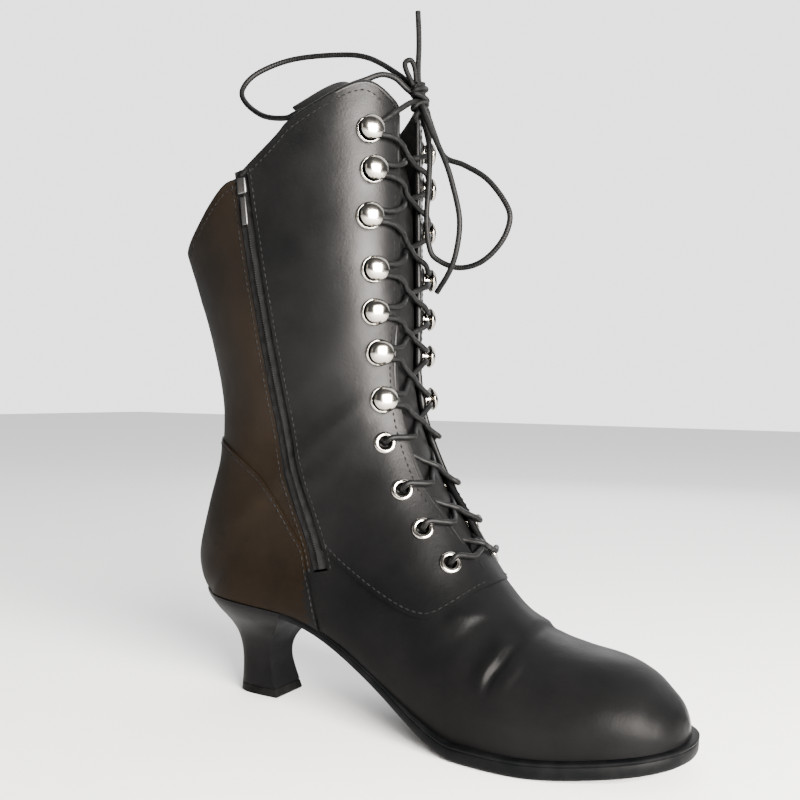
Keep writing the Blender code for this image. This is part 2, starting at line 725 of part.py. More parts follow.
def turned(name, profile, spot, out, finish, bored=False):
    """A round piece: radius and height turned about the direction out. A bored one has no poles."""
    across = out.orthogonal().normalized()
    beside = out.cross(across)
    wheel = [2 * math.pi * k / TRIM_SIDES for k in range(TRIM_SIDES)]
    points = []
    for radius, height in profile:
        for turn in wheel if radius > 0 else (0.0,):
            points.append(spot + out * height + (across * math.cos(turn) + beside * math.sin(turn)) * radius)
    faces = []
    rings = len(profile) if bored else len(profile) - 2
    first = 0 if bored else 1
    for i in range(rings if bored else rings - 1):
        for j in range(TRIM_SIDES):
            a = first + i * TRIM_SIDES
            b = first + (i + 1) % rings * TRIM_SIDES
            k = (j + 1) % TRIM_SIDES
            faces.append((a + j, a + k, b + k, b + j))
    if not bored:
        end = len(points) - 1
        for j in range(TRIM_SIDES):
            k = (j + 1) % TRIM_SIDES
            faces.append((0, first + j, first + k))
            faces.append((end, end - TRIM_SIDES + j, end - TRIM_SIDES + k))
    return add_object(name, points, faces, finish)


def eyelet_holes():
    """Cutter for the holes that the eyelets' barrels pass through."""
    points = []
    faces = []
    for place in EYELET_PLACES:
        for side in (-1, 1):
            spot, out = front_spot(place, side)
            radius = EYELET_BARREL + CLEARANCE
            profile = ((0.0, -0.006), (radius, -0.006), (radius, 0.003), (0.0, 0.003))
            one = turned("hole", profile, spot, out, None)
            start = len(points)
            points += [v.co.copy() for v in one.data.vertices]
            faces += [tuple(start + i for i in f.vertices) for f in one.data.polygons]
            bpy.data.objects.remove(one, do_unlink=True)
    return as_guide(add_object("cut_eyelets", points, faces, None))


def make_hooks(nickel):
    """Lacing studs with a base disc, a neck and a domed head."""
    base = HOOK_BASE_HEIGHT
    neck = base + HOOK_NECK_HEIGHT
    top = neck + HOOK_DOME_HEIGHT
    profile = (
        (0.0, 0.0), (HOOK_BASE_RADIUS, 0.0), (HOOK_BASE_RADIUS * 0.92, base), (HOOK_NECK_RADIUS, base),
        (HOOK_NECK_RADIUS, neck), (HOOK_DOME_RADIUS, neck), (HOOK_DOME_RADIUS * 0.93, neck + HOOK_DOME_HEIGHT * 0.45),
        (HOOK_DOME_RADIUS * 0.6, neck + HOOK_DOME_HEIGHT * 0.85), (0.0, top),
    )
    for word, side in (("inner", -1), ("outer", 1)):
        for k, place in enumerate(HOOK_PLACES):
            spot, out = front_spot(place, side)
            turned(f"hook_{word}_{k + 1}", profile, spot + out * CLEARANCE, out, nickel)


def make_eyelets(nickel):
    """Eyelets with a rolled flange and a barrel through the front's edge."""
    depth = OVERLAY + WALL
    profile = (
        (EYELET_BORE, -depth), (EYELET_BORE, EYELET_HEIGHT * 0.5), (EYELET_BORE * 1.25, EYELET_HEIGHT),
        (EYELET_RADIUS * 0.85, EYELET_HEIGHT), (EYELET_RADIUS, CLEARANCE), (EYELET_BARREL, CLEARANCE),
        (EYELET_BARREL, -depth),
    )
    for word, side in (("inner", -1), ("outer", 1)):
        for k, place in enumerate(EYELET_PLACES):
            spot, out = front_spot(place, side)
            turned(f"eyelet_{word}_{k + 1}", profile, spot, out, nickel, bored=True)


def lace_rise(y, z, reach):
    """How far the lace's middle stands off the front: over a hook's base, and low over the throat."""
    high = OVERLAY + 3 * CLEARANCE + HOOK_BASE_HEIGHT + LACE_DIAMETER / 2
    low = OVERLAY + LACE_EDGE_GAP + LACE_DIAMETER / 2
    edge = throat_half(z)
    if abs(y) > edge:
        return low + (high - low) * min((abs(y) - edge) / (reach - edge), 1.0)
    dip = LACE_DIP * min(max((z - TAB_TOP) / LACE_DIP_RUN, 0.0), 1.0)
    return low - dip * (1 - (y / edge) ** 2)


def tube(name, path, finish):
    """A round cord along a path, closed at both ends."""
    rings = []
    side = None
    last = len(path) - 1
    for i, here in enumerate(path):
        way = (path[min(i + 1, last)] - path[max(i - 1, 0)]).normalized()
        side = way.orthogonal() if side is None else side - way * side.dot(way)
        side = side.normalized()
        beside = way.cross(side)
        turns = [2 * math.pi * k / LACE_SIDES for k in range(LACE_SIDES)]
        rings.append([here + (side * math.cos(t) + beside * math.sin(t)) * LACE_DIAMETER / 2 for t in turns])
    return loft(name, rings, finish)


def strand(name, start, end, finish):
    """A taut strand over the front, from one point y, z to another."""
    path = []
    reach = max(abs(start[0]), abs(end[0]))
    for k in range(6):
        y = start[0] + (end[0] - start[0]) * k / 5
        z = start[1] + (end[1] - start[1]) * k / 5
        path.append(Vector((front_x(y, z, -lace_rise(y, z, reach)), y, z)))
    return tube(name, path, finish)


def make_crossings(cord):
    """The lace between each row of hooks or eyelets and the next: two strands joined at the middle."""
    places = HOOK_PLACES + EYELET_PLACES
    for k in range(len(places) - 1):
        over = [front_spot(places[k], side)[0] for side in (-1, 1)]
        under = [front_spot(places[k + 1], side)[0] for side in (-1, 1)]
        ends = []
        for side, (high, low) in zip((-1, 1), zip(over, under)):
            ends.append(((high.y - side * LACE_END_IN, high.z - LACE_END_OFF),
                         (low.y - side * LACE_END_IN, low.z + LACE_END_OFF)))
        first = strand(f"lace_cross_{k + 1:02d}", ends[0][0], ends[1][1], cord)
        second = as_guide(strand(f"strand_{k + 1:02d}", ends[1][0], ends[0][1], cord))
        cut_with(first, second, "UNION")


def smooth_path(points, count):
    """Even points on a smooth curve through the given ones."""
    line = [Vector(p) for p in points]
    line = [line[0] * 2 - line[1]] + line + [line[-1] * 2 - line[-2]]
    fine = []
    for i in range(1, len(line) - 2):
        a, b, c, d = line[i - 1:i + 3]
        for k in range(8):
            t = k / 8
            fine.append(0.5 * (2 * b + (c - a) * t + (2 * a - 5 * b + 4 * c - d) * t * t
                               + (3 * b - a - 3 * c + d) * t ** 3))
    fine.append(line[-2])
    steps = np.concatenate([[0.0], np.cumsum([(q - p).length for p, q in zip(fine, fine[1:])])])
    spread = np.linspace(0, steps[-1], count)
    return [Vector([float(np.interp(w, steps, [p[k] for p in fine])) for k in range(3)]) for w in spread]


def make_bow(cord):
    """Knot with its two strands to the top hooks, two loops and two ends."""
    centre = Vector(KNOT_CENTRE)
    profile = [(KNOT_RADII[0] * math.sin(math.pi * k / 6), -KNOT_RADII[2] * math.cos(math.pi * k / 6))
               for k in range(7)]
    profile[0] = (0.0, -KNOT_RADII[2])
    profile[-1] = (0.0, KNOT_RADII[2])
    knot = turned("lace_knot", profile, centre, Vector((0, 0, 1)), cord)
    for side in (-1, 1):
        spot, out = front_spot(HOOK_PLACES[0], side)
        y = spot.y - side * LACE_END_IN
        z = spot.z + LACE_END_OFF
        reach = abs(spot.y)
        start = Vector((front_x(y, z, -lace_rise(reach, z, reach)), y, z))
        path = [start.lerp(centre, k / 3) for k in range(4)]
        cut_with(knot, as_guide(tube(f"strand_knot_{side + 1}", path, cord)), "UNION")
    tube("lace_loop_rear", smooth_path(LOOP_REAR, 30), cord)
    tube("lace_loop_front", smooth_path(LOOP_FRONT, 28), cord)
    tube("lace_end_up", smooth_path(END_UP, 6), cord)
    tube("lace_end_down", smooth_path(END_DOWN, 14), cord)


def centre_on_origin():
    """Put the origin under the middle of the boot's box."""
    for made in bpy.data.objects:
        made.data.transform(Matrix.Translation((CENTRE_X, CENTRE_Y, 0.0)))


def main():
    for old in list(bpy.data.objects):
        bpy.data.objects.remove(old, do_unlink=True)
    leather = material("black_leather", (0.02, 0.02, 0.022), 0.38)
    rubber = material("black_sole", (0.015, 0.015, 0.016), 0.5)
    lining = material("lining", (0.05, 0.045, 0.04), 0.8)
    tape = material("zip_tape", (0.015, 0.015, 0.017), 0.7)
    nickel = material("nickel", (0.6, 0.6, 0.6), 0.25, 1.0)
    cord = material("lace", (0.02, 0.02, 0.02), 0.6)
    make_upper(leather)
    make_outsole(rubber)
    make_heel(rubber)
    make_insole(lining)
    make_tongue(leather)
    make_zip(tape)
    make_hooks(nickel)
    make_eyelets(nickel)
    make_crossings(cord)
    make_bow(cord)
    centre_on_origin()


main()
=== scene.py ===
"""Victorian lace-up boot, left foot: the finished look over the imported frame.

Metres, +Z up, the toe points to +X and the outer side is +Y. Shapes are worked out in the boot's own
axes and moved by CENTRE when they are done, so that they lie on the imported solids.
"""

import math

import bmesh
import bpy
import numpy as np
from mathutils import Matrix, Vector, noise
from mathutils.bvhtree import BVHTree

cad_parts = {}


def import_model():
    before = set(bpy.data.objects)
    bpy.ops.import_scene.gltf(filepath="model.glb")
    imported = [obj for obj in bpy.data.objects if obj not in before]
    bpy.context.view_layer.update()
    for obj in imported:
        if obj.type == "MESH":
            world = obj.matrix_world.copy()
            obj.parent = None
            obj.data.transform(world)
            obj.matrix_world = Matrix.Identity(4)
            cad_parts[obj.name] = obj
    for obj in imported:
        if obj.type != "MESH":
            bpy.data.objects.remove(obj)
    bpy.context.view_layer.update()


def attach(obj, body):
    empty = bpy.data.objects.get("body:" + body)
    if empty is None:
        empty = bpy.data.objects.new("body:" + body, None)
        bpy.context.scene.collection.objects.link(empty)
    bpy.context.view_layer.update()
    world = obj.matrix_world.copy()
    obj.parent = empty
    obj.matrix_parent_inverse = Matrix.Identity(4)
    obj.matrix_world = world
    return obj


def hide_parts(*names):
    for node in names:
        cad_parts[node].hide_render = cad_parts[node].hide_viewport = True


CENTRE = Vector((0.0025, -0.0003, 0.0))

# Camera, in degrees, metres and millimetres of lens
CAMERA_TURN = 27.11
CAMERA_RISE = 4.06
CAMERA_ROLL = 0.80
CAMERA_REACH = 0.450
CAMERA_HEIGHT = 0.120
CAMERA_AIM_SIDE = -0.01221
CAMERA_AIM_HEIGHT = 0.14731
CAMERA_LENS = 43.74

# Studio
WALL_BRIGHTNESS = 2.6
SURROUND_LIGHT = 0.14
FLOOR_SIZE = 8
FLOOR_GREY = 0.90
SKY_POWER = 4.2
SKY_SPREAD = 1.7
SKY_TILT = -38
# Soft boxes: name, place, aim, width, height, power and colour
SOFT_BOXES = (
    ("toe_box", (0.92, -0.56, 0.34), (0.0, 0.0, 0.15), 0.74, 0.62, 170, (1.0, 0.945, 0.89)),
    ("outer_box", (-0.20, 1.00, 0.60), (0.0, 0.0, 0.14), 0.60, 0.60, 4, (1.0, 1.0, 1.0)),
    ("camera_box", (-0.75, -0.85, 0.45), (0.0, 0.0, 0.16), 0.30, 0.50, 0.8, (1.0, 0.90, 0.80)),
)

# Painted sheen on the leather: reflection weak below the first height and full from the second, so the shaft
# shines and the low boot stays dark
PAINTED_SHEEN_HEIGHTS = (0.065, 0.150)
PAINTED_SHEEN_LEVELS = (0.030, 0.115)

# Boot sizes
LENGTH = 0.248
BALL_WIDTH = 0.084
LEG_HEIGHT = 0.237
SEAT_HEIGHT = 0.0472
SEAT_RISE = 0.0055
TOE_SPRING = 0.0068
TOE_LIFT_START = 0.260
TREAD_BACK = 0.140
ARCH_EARLY = 0.85
WAIST_TOP = -0.262
CLEARANCE = 0.0003
WALL = 0.0021
OVERLAY = 0.0009

# Sole and heel sizes
FORE_THICKNESS = 0.0072
WAIST_THICKNESS = 0.0036
SOLE_MARGIN_FORE = 0.0032
SOLE_MARGIN_WAIST = 0.0004
WAIST_MARGIN_END = -0.05
FORE_MARGIN_START = 0.16
BREAST_ROW = 12.75
SOLE_OVERRUN = 0.06
SEAT_END_ROW = 16.45
INSOLE_THICKNESS = 0.0025
HEEL_BASE_WIDTH = 0.0222
HEEL_SQUARE = 3.4
HEEL_LIFT = 0.0042

# Tongue, throat and zip sizes
TONGUE_THICKNESS = 0.0016
TONGUE_GAP = 0.0012
TONGUE_HALF_WIDTH = 0.0290
TONGUE_TOP = 0.299
TONGUE_LEAN = 0.028
TONGUE_LEAN_START = 0.235
TONGUE_CORNER_DROP = 0.26
TONGUE_FIRST_ROW = 8.7
TONGUE_LAST_ROW = 25.55
THROAT_WIDTHS = (
    (0.0800, 0.0083), (0.0900, 0.0098), (0.1080, 0.0130),
    (0.1440, 0.0125), (0.1860, 0.0106), (0.2660, 0.0096),
)
TAB_HALF_WIDTH = 0.0072
TAB_TOP = 0.0850
THROAT_FOOT = 0.0735
ZIP_WIDTH = 0.0085
ZIP_RECESS = 0.0006
ZIP_TOP_SHARE = 0.115
# Slider and pull: share down the zip, length, width, thickness and lift
SLIDER_BLOCKS = ((0.150, 0.0075, 0.0050, 0.0024, 0.0010), (0.205, 0.0130, 0.0030, 0.0009, 0.0021))

# Trim sizes
HOOK_BASE_RADIUS = 0.0062
HOOK_BASE_HEIGHT = 0.0011
HOOK_NECK_RADIUS = 0.0021
HOOK_NECK_HEIGHT = 0.0034
HOOK_DOME_RADIUS = 0.0057
HOOK_DOME_HEIGHT = 0.0031
EYELET_RADIUS = 0.0050
EYELET_BORE = 0.0026
EYELET_BARREL = 0.0032
EYELET_HEIGHT = 0.0010
LACE_DIAMETER = 0.0026
LACE_EDGE_GAP = 0.0011
LACE_DIP = 0.0042
LACE_DIP_RUN = 0.0120
STITCH_LENGTH = 0.0021
STITCH_STEP = 0.0030
STITCH_WIDTH = 0.00040
THROAT_STITCH_MARGIN = 0.0036
COLLAR_STITCH_MARGIN = 0.0036
SEAM_STITCH_MARGIN = 0.0022
ZIP_STITCH_MARGIN = 0.0016
BACK_ROLL_RADIUS = 0.00112
FRONT_ROLL_RADIUS = 0.00152
TAB_ROLL_RADIUS = 0.0011
# Lace: where a strand leaves an eyelet or a hook, its rise there, and where its line is shaped
EYELET_LEAVE = 0.0065
HOOK_LEAVE = 0.0055
STRAND_RISE = 0.0019
STRAND_STATIONS = (0.06, 0.20, 0.34, 0.44, 0.50, 0.56, 0.66, 0.80, 0.94)
# Lace round a hook's neck: shares of the grip towards the throat and up
HOOK_TURN = (
    (1.10, -0.75), (0.0, -1.0), (-0.71, -0.71), (-1.0, 0.0), (-0.71, 0.71), (0.0, 1.0), (1.10, 0.75),
)

# Height over the sole and share of half the ball width, from the top
HOOK_PLACES = (
    (1.002, 0.600), (0.930, 0.569), (0.840, 0.598), (0.744, 0.550),
    (0.664, 0.532), (0.590, 0.469), (0.505, 0.448),
)
EYELET_PLACES = (
    (0.430, 0.491), (0.366, 0.501), (0.321, 0.514), (0.285, 0.467),
)

HEEL_ROWS = (
    (1.000, -0.460, -0.262, 2.20, 1.00),
    (0.960, -0.455, -0.262, 2.20, 0.86),
    (0.860, -0.440, -0.272, 2.00, 0.40),
    (0.740, -0.427, -0.290, 1.55, 0.12),
    (0.620, -0.416, -0.308, 1.18, 0.02),
    (0.490, -0.408, -0.320, 0.95, 0.00),
    (0.350, -0.404, -0.321, 0.86, 0.00),
    (0.180, -0.403, -0.312, 0.92, 0.00),
    (0.000, -0.405, -0.299, 1.00, 0.00),
)

SIDES = ((-1, "inner"), (1, "outer"))
COLUMNS = ("top_x", "top_h", "low_x", "low_h", "in_w", "out_w", "in_f", "out_f", "wide", "full", "mid")
SECTIONS = np.array((
    (0.491, 0.026, 0.492, -0.019, 0.05, 0.05, 0.05, 0.05, 0.40, 2.00, -0.06),
    (0.486, 0.040, 0.488, -0.019, 0.20, 0.20, 0.20, 0.20, 0.40, 2.00, -0.06),
    (0.474, 0.062, 0.477, -0.019, 0.35, 0.35, 0.34, 0.34, 0.38, 2.00, -0.06),
    (0.454, 0.083, 0.458, -0.019, 0.50, 0.49, 0.49, 0.48, 0.36, 2.00, -0.05),
    (0.422, 0.112, 0.426, -0.019, 0.65, 0.62, 0.64, 0.61, 0.34, 2.10, -0.04),
    (0.373, 0.137, 0.376, -0.019, 0.80, 0.76, 0.79, 0.75, 0.32, 2.10, -0.02),
    (0.308, 0.154, 0.308, -0.019, 0.94, 0.90, 0.92, 0.88, 0.30, 2.00, 0.00),
    (0.244, 0.174, 0.236, -0.019, 1.00, 1.00, 0.97, 0.97, 0.30, 1.90, 0.00),
    (0.190, 0.211, 0.160, -0.019, 0.98, 1.02, 0.92, 0.97, 0.30, 1.80, 0.00),
    (0.147, 0.260, 0.072, -0.019, 0.90, 0.99, 0.79, 0.90, 0.31, 1.90, 0.00),
    (0.109, 0.312, -0.016, -0.019, 0.82, 0.93, 0.65, 0.80, 0.34, 2.00, 0.00),
    (0.074, 0.357, -0.105, -0.019, 0.78, 0.87, 0.55, 0.70, 0.37, 2.10, 0.00),
    (0.040, 0.397, -0.194, -0.019, 0.76, 0.83, 0.50, 0.63, 0.40, 2.14, 0.00),
    (0.014, 0.439, -0.282, -0.019, 0.76, 0.81, 0.52, 0.61, 0.42, 2.19, 0.00),
    (-0.007, 0.482, -0.371, -0.019, 0.78, 0.81, 0.55, 0.60, 0.43, 2.23, 0.00),
    (-0.020, 0.518, -0.424, -0.019, 0.80, 0.82, 0.42, 0.44, 0.44, 2.27, 0.00),
    (-0.025, 0.541, -0.456, -0.019, 0.81, 0.82, 0.14, 0.14, 0.45, 2.31, 0.00),
    (-0.029, 0.561, -0.479, 0.010, 0.82, 0.82, 0.10, 0.10, 0.45, 2.36, 0.00),
    (-0.032, 0.589, -0.488, 0.066, 0.80, 0.80, 0.10, 0.10, 0.46, 2.40, 0.00),
    (-0.033, 0.622, -0.463, 0.172, 0.79, 0.79, 0.10, 0.10, 0.47, 2.40, 0.00),
    (-0.034, 0.664, -0.437, 0.260, 0.81, 0.81, 0.10, 0.10, 0.48, 2.40, 0.00),
    (-0.035, 0.714, -0.432, 0.366, 0.84, 0.84, 0.10, 0.10, 0.49, 2.40, 0.00),
    (-0.037, 0.777, -0.456, 0.492, 0.89, 0.89, 0.10, 0.10, 0.50, 2.40, 0.00),
    (-0.039, 0.865, -0.506, 0.636, 0.95, 0.95, 0.10, 0.10, 0.50, 2.40, 0.00),
    (-0.041, 0.965, -0.556, 0.779, 1.00, 1.00, 0.10, 0.10, 0.50, 2.40, 0.00),
    (-0.044, 1.083, -0.590, 0.931, 1.04, 1.04, 0.10, 0.10, 0.50, 2.40, 0.00),
    (-0.046, 1.190, -0.620, 1.072, 1.06, 1.06, 0.10, 0.10, 0.50, 2.40, 0.00),
))
LAST_ROW = len(SECTIONS) - 1
LOW_ROUND = 2.2

# Side-view lines, in shares of LENGTH and of LEG_HEIGHT over the sole's line
COLLAR = (
    (0.300, 1.040), (-0.042, 1.045), (-0.050, 1.075), (-0.066, 1.090), (-0.083, 1.086), (-0.110, 1.056),
    (-0.155, 1.004), (-0.205, 0.955), (-0.224, 0.925), (-0.296, 0.859), (-0.318, 0.839), (-0.345, 0.834),
    (-0.387, 0.793), (-0.429, 0.748), (-0.484, 0.705), (-0.550, 0.680), (-0.800, 0.680),
)
QUARTER_SEAM = (
    (0.190, 0.300), (0.158, 0.258), (0.140, 0.251), (0.110, 0.218), (0.078, 0.184), (0.052, 0.172),
    (0.021, 0.164), (-0.032, 0.159), (-0.076, 0.160), (-0.115, 0.166), (-0.138, 0.176),
)
COUNTER_SEAM = (
    (-0.700, 0.340), (-0.440, 0.330), (-0.364, 0.309), (-0.314, 0.288), (-0.260, 0.257),
    (-0.203, 0.171), (-0.186, 0.155), (-0.181, 0.118), (-0.168, 0.077), (-0.148, -0.100), (-0.700, -0.100),
)
ZIP_LINE = (
    (-0.320, 0.960), (-0.303, 0.835), (-0.290, 0.730), (-0.271, 0.600), (-0.248, 0.465), (-0.219, 0.329),
    (-0.184, 0.225), (-0.159, 0.172), (-0.147, 0.125),
)

# Folds of the leather: middle, direction from the soft to the steep face, steep width, height and reach
CREASE_FINE_ROWS = (6.8, 10.2)
CREASE_FINE_STEP = 0.045
SKIN_STEP = 0.14
CREASES = (
    ((0.0492, -0.0309, 0.0416), (0.954, -0.226, -0.195), 0.0015, 0.00150, 0.0125),
    ((0.0580, -0.0325, 0.0374), (0.940, -0.220, -0.260), 0.0012, 0.00045, 0.0070),
    ((0.0345, -0.0260, 0.0562), (0.460, -0.450, -0.710), 0.0014, 0.00095, 0.0085),
    ((0.0300, -0.0300, 0.0500), (0.500, -0.300, -0.800), 0.0016, 0.00050, 0.0090),
    ((0.0560, -0.0030, 0.0560), (0.970, 0.050, -0.200), 0.0022, 0.00080, 0.0130),
    ((0.0530, 0.0240, 0.0450), (0.940, 0.230, -0.250), 0.0018, 0.00110, 0.0150),
    ((0.0440, 0.0300, 0.0430), (0.880, 0.230, -0.440), 0.0018, 0.00070, 0.0130),
    ((-0.0700, -0.0330, 0.1250), (0.350, 0.000, 0.940), 0.0040, 0.00050, 0.0300),
    ((-0.0560, -0.0320, 0.1120), (0.200, 0.000, 0.980), 0.0045, 0.00045, 0.0280),
    ((-0.0700, 0.0330, 0.1230), (0.300, 0.000, 0.950), 0.0040, 0.00060, 0.0320),
    ((-0.0250, -0.0310, 0.1180), (0.420, 0.000, 0.900), 0.0050, 0.00045, 0.0280),
    ((-0.0200, 0.0310, 0.1150), (0.420, 0.000, 0.900), 0.0050, 0.00055, 0.0280),
)

# The free lace, from the knot
KNOT_CENTRE = (-0.0056, 0.0, 0.2865)
LOOP_REAR = (
    (-0.0085, 0.0010, 0.2900), (-0.0116, 0.0022, 0.2942), (-0.0180, 0.0020, 0.3003),
    (-0.0341, 0.0010, 0.3103),
    (-0.0510, 0.0, 0.3140), (-0.0752, -0.0040, 0.3141), (-0.0901, -0.0120, 0.3072),
    (-0.0945, -0.0180, 0.2982),
    (-0.0892, -0.0220, 0.2899), (-0.0735, -0.0290, 0.2800), (-0.0585, -0.0325, 0.2762),
    (-0.0515, -0.0330, 0.2775), (-0.0425, -0.0310, 0.2800), (-0.0370, -0.0270, 0.2848),
    (-0.0300, -0.0240, 0.2892), (-0.0234, -0.0200, 0.2923), (-0.0183, -0.0140, 0.2958),
    (-0.0145, -0.0080, 0.2954), (-0.0115, -0.0032, 0.2918), (-0.0080, -0.0010, 0.2885),
)
LOOP_FRONT = (
    (-0.0040, 0.0030, 0.2815), (-0.0025, 0.0042, 0.2775), (-0.0005, 0.0045, 0.2720), (0.0049, 0.0050, 0.2602),
    (0.0146, 0.0060, 0.2555), (0.0261, 0.0060, 0.2481), (0.0351, 0.0060, 0.2369), (0.0376, 0.0060, 0.2287),
    (0.0333, 0.0060, 0.2187), (0.0237, 0.0060, 0.2106), (0.0122, 0.0060, 0.2086), (0.0025, 0.0035, 0.2127),
    (0.0, 0.0008, 0.2180), (-0.0008, -0.0010, 0.2309), (0.0003, -0.0012, 0.2480), (0.0003, -0.0012, 0.2632),
    (-0.0028, -0.0010, 0.2752), (-0.0045, -0.0008, 0.2800),
)
END_UP = (
    (-0.0060, 0.0, 0.2920), (-0.0066, 0.0, 0.2970), (-0.0067, 0.0, 0.3035), (-0.0065, 0.0, 0.3114),
    (-0.0068, 0.0, 0.3200), (-0.0073, 0.0, 0.3274),
)
END_DOWN = (
    (-0.0030, -0.0030, 0.2825), (-0.0010, -0.0042, 0.2785), (0.0030, -0.0046, 0.2700),
    (0.0095, -0.0040, 0.2564),
    (0.0133, -0.0035, 0.2454), (0.0169, -0.0030, 0.2296), (0.0154, -0.0020, 0.2164),
    (0.0112, -0.0005, 0.2064),
    (0.0028, 0.0035, 0.1973),
)


# Small helpers

def link(tree, out, into):
    tree.links.new(out, into)


def dial(node, **values):
    """Set a node's inputs; an underscore in a word stands for a blank in the input's name."""
    for word, value in values.items():
        node.inputs[word.replace("_", " ")].default_value = value


def only(piece):
    """Select one object alone."""
    bpy.ops.object.select_all(action="DESELECT")
    piece.select_set(True)
    bpy.context.view_layer.objects.active = piece


def open_mesh(action="SELECT"):
    """Edit mode on the active piece, with all or none of it selected."""
    bpy.ops.object.mode_set(mode="EDIT")
    bpy.ops.mesh.select_all(action=action)


def close_mesh():
    bpy.ops.object.mode_set(mode="OBJECT")


# Camera, light and floor

def add_camera():
    """The photograph's view: from the toe's side of the inner face, a little over the floor."""
    turn = math.radians(CAMERA_TURN)
    rise = math.radians(CAMERA_RISE)
    roll = math.radians(CAMERA_ROLL)
    back = Vector((math.sin(turn) * math.cos(rise), -math.cos(turn) * math.cos(rise), math.sin(rise)))
    place = Vector((0, 0, CAMERA_HEIGHT)) + back * CAMERA_REACH
    aim = Vector((CAMERA_AIM_SIDE * math.cos(turn), CAMERA_AIM_SIDE * math.sin(turn), CAMERA_AIM_HEIGHT))
    ahead = (aim - place).normalized()
    right = ahead.cross(Vector((0, 0, 1))).normalized()
    up = right.cross(ahead)
    side = right * math.cos(roll) + up * math.sin(roll)
    top = -right * math.sin(roll) + up * math.cos(roll)
    camera = bpy.data.objects.new("camera", bpy.data.cameras.new("camera"))
    bpy.context.collection.objects.link(camera)
    turned = Matrix((side, top, -ahead)).transposed().to_4x4()
    turned.translation = place + CENTRE
    camera.matrix_world = turned
    camera.data.sensor_width = 36
    camera.data.lens = CAMERA_LENS
    camera.data.clip_start = 0.01
    bpy.context.scene.camera = camera


def add_light(name, place, aim, width, height, power, colour):
    """A soft box that looks at aim."""
    light = bpy.data.lights.new(name, "AREA")
    light.shape = "RECTANGLE"
    light.size = width
    light.size_y = height
    light.energy = power
    light.color = colour
    lamp = bpy.data.objects.new(name, light)
    bpy.context.collection.objects.link(lamp)
    lamp.location = place
    lamp.rotation_euler = (Vector(aim) - Vector(place)).to_track_quat("-Z", "Y").to_euler()


def add_studio():
    """Pale floor, surroundings that light the boot only weakly, a soft sky and three soft boxes."""
    world = bpy.data.worlds.new("studio")
    bpy.context.scene.world = world
    world.use_nodes = True
    tree = world.node_tree
    pale = tree.nodes["Background"]
    dial(pale, Color=(1.0, 1.0, 1.0, 1), Strength=WALL_BRIGHTNESS)
    dim = tree.nodes.new("ShaderNodeBackground")
    dial(dim, Color=(0.95, 0.97, 1.0, 1), Strength=SURROUND_LIGHT)
    seen = tree.nodes.new("ShaderNodeLightPath")
    either = tree.nodes.new("ShaderNodeMixShader")
    link(tree, seen.outputs["Is Camera Ray"], either.inputs[0])
    link(tree, dim.outputs[0], either.inputs[1])
    link(tree, pale.outputs[0], either.inputs[2])
    link(tree, either.outputs[0], tree.nodes["World Output"].inputs["Surface"])
    bpy.ops.mesh.primitive_plane_add(size=FLOOR_SIZE, location=(0, 0, -0.0002))
    floor = bpy.context.object
    floor.name = "floor"
    paint = bpy.data.materials.new("pale_floor")
    paint.use_nodes = True
    dial(paint.node_tree.nodes["Principled BSDF"], Base_Color=(FLOOR_GREY, FLOOR_GREY, FLOOR_GREY, 1),
         Roughness=0.95, Specular_IOR_Level=0.1)
    floor.data.materials.append(paint)
    sky = bpy.data.lights.new("soft_sky", "SUN")
    sky.energy = SKY_POWER
    sky.angle = SKY_SPREAD
    lamp = bpy.data.objects.new("soft_sky", sky)
    bpy.context.collection.objects.link(lamp)
    lamp.rotation_euler = (math.radians(SKY_TILT), 0, 0)
    for box in SOFT_BOXES:
        add_light(*box)


# Materials

def finish(name, colour, roughness, metallic=0.0, specular=0.5):
    """A Principled material and its shader."""
    made = bpy.data.materials.new(name)
    made.use_nodes = True
    shader = made.node_tree.nodes["Principled BSDF"]
    dial(shader, Base_Color=(*colour, 1), Roughness=roughness, Metallic=metallic, Specular_IOR_Level=specular)
    return made, shader


def noise_of(tree, scale, detail=4.0, kind="NOISE"):
    """A pattern on the piece's own coordinates."""
    place = tree.nodes.new("ShaderNodeTexCoord")
    if kind == "VORONOI":
        pattern = tree.nodes.new("ShaderNodeTexVoronoi")
        pattern.feature = "DISTANCE_TO_EDGE"
    else:
        pattern = tree.nodes.new("ShaderNodeTexNoise")
        dial(pattern, Detail=detail, Roughness=0.55)
    dial(pattern, Scale=scale)
    link(tree, place.outputs["Object"], pattern.inputs["Vector"])
    return pattern.outputs[0] if kind == "VORONOI" else pattern.outputs["Fac"]


def ramp_of(tree, value, stops):
    """A colour ramp with (place, grey or colour) stops."""
    ramp = tree.nodes.new("ShaderNodeValToRGB")
    while len(ramp.color_ramp.elements) < len(stops):
        ramp.color_ramp.elements.new(0.5)
    for element, (place, colour) in zip(ramp.color_ramp.elements, stops):
        element.position = place
        element.color = (*colour, 1) if isinstance(colour, tuple) else (colour, colour, colour, 1)
    link(tree, value, ramp.inputs["Fac"])
    return ramp.outputs["Color"]


def bump_from(tree, height, strength, distance, below=None):
    """A bump, on top of another where one is given."""
    bump = tree.nodes.new("ShaderNodeBump")
    dial(bump, Strength=strength, Distance=distance)
    link(tree, height, bump.inputs["Height"])
    if below is not None:
        link(tree, below, bump.inputs["Normal"])
    return bump.outputs["Normal"]


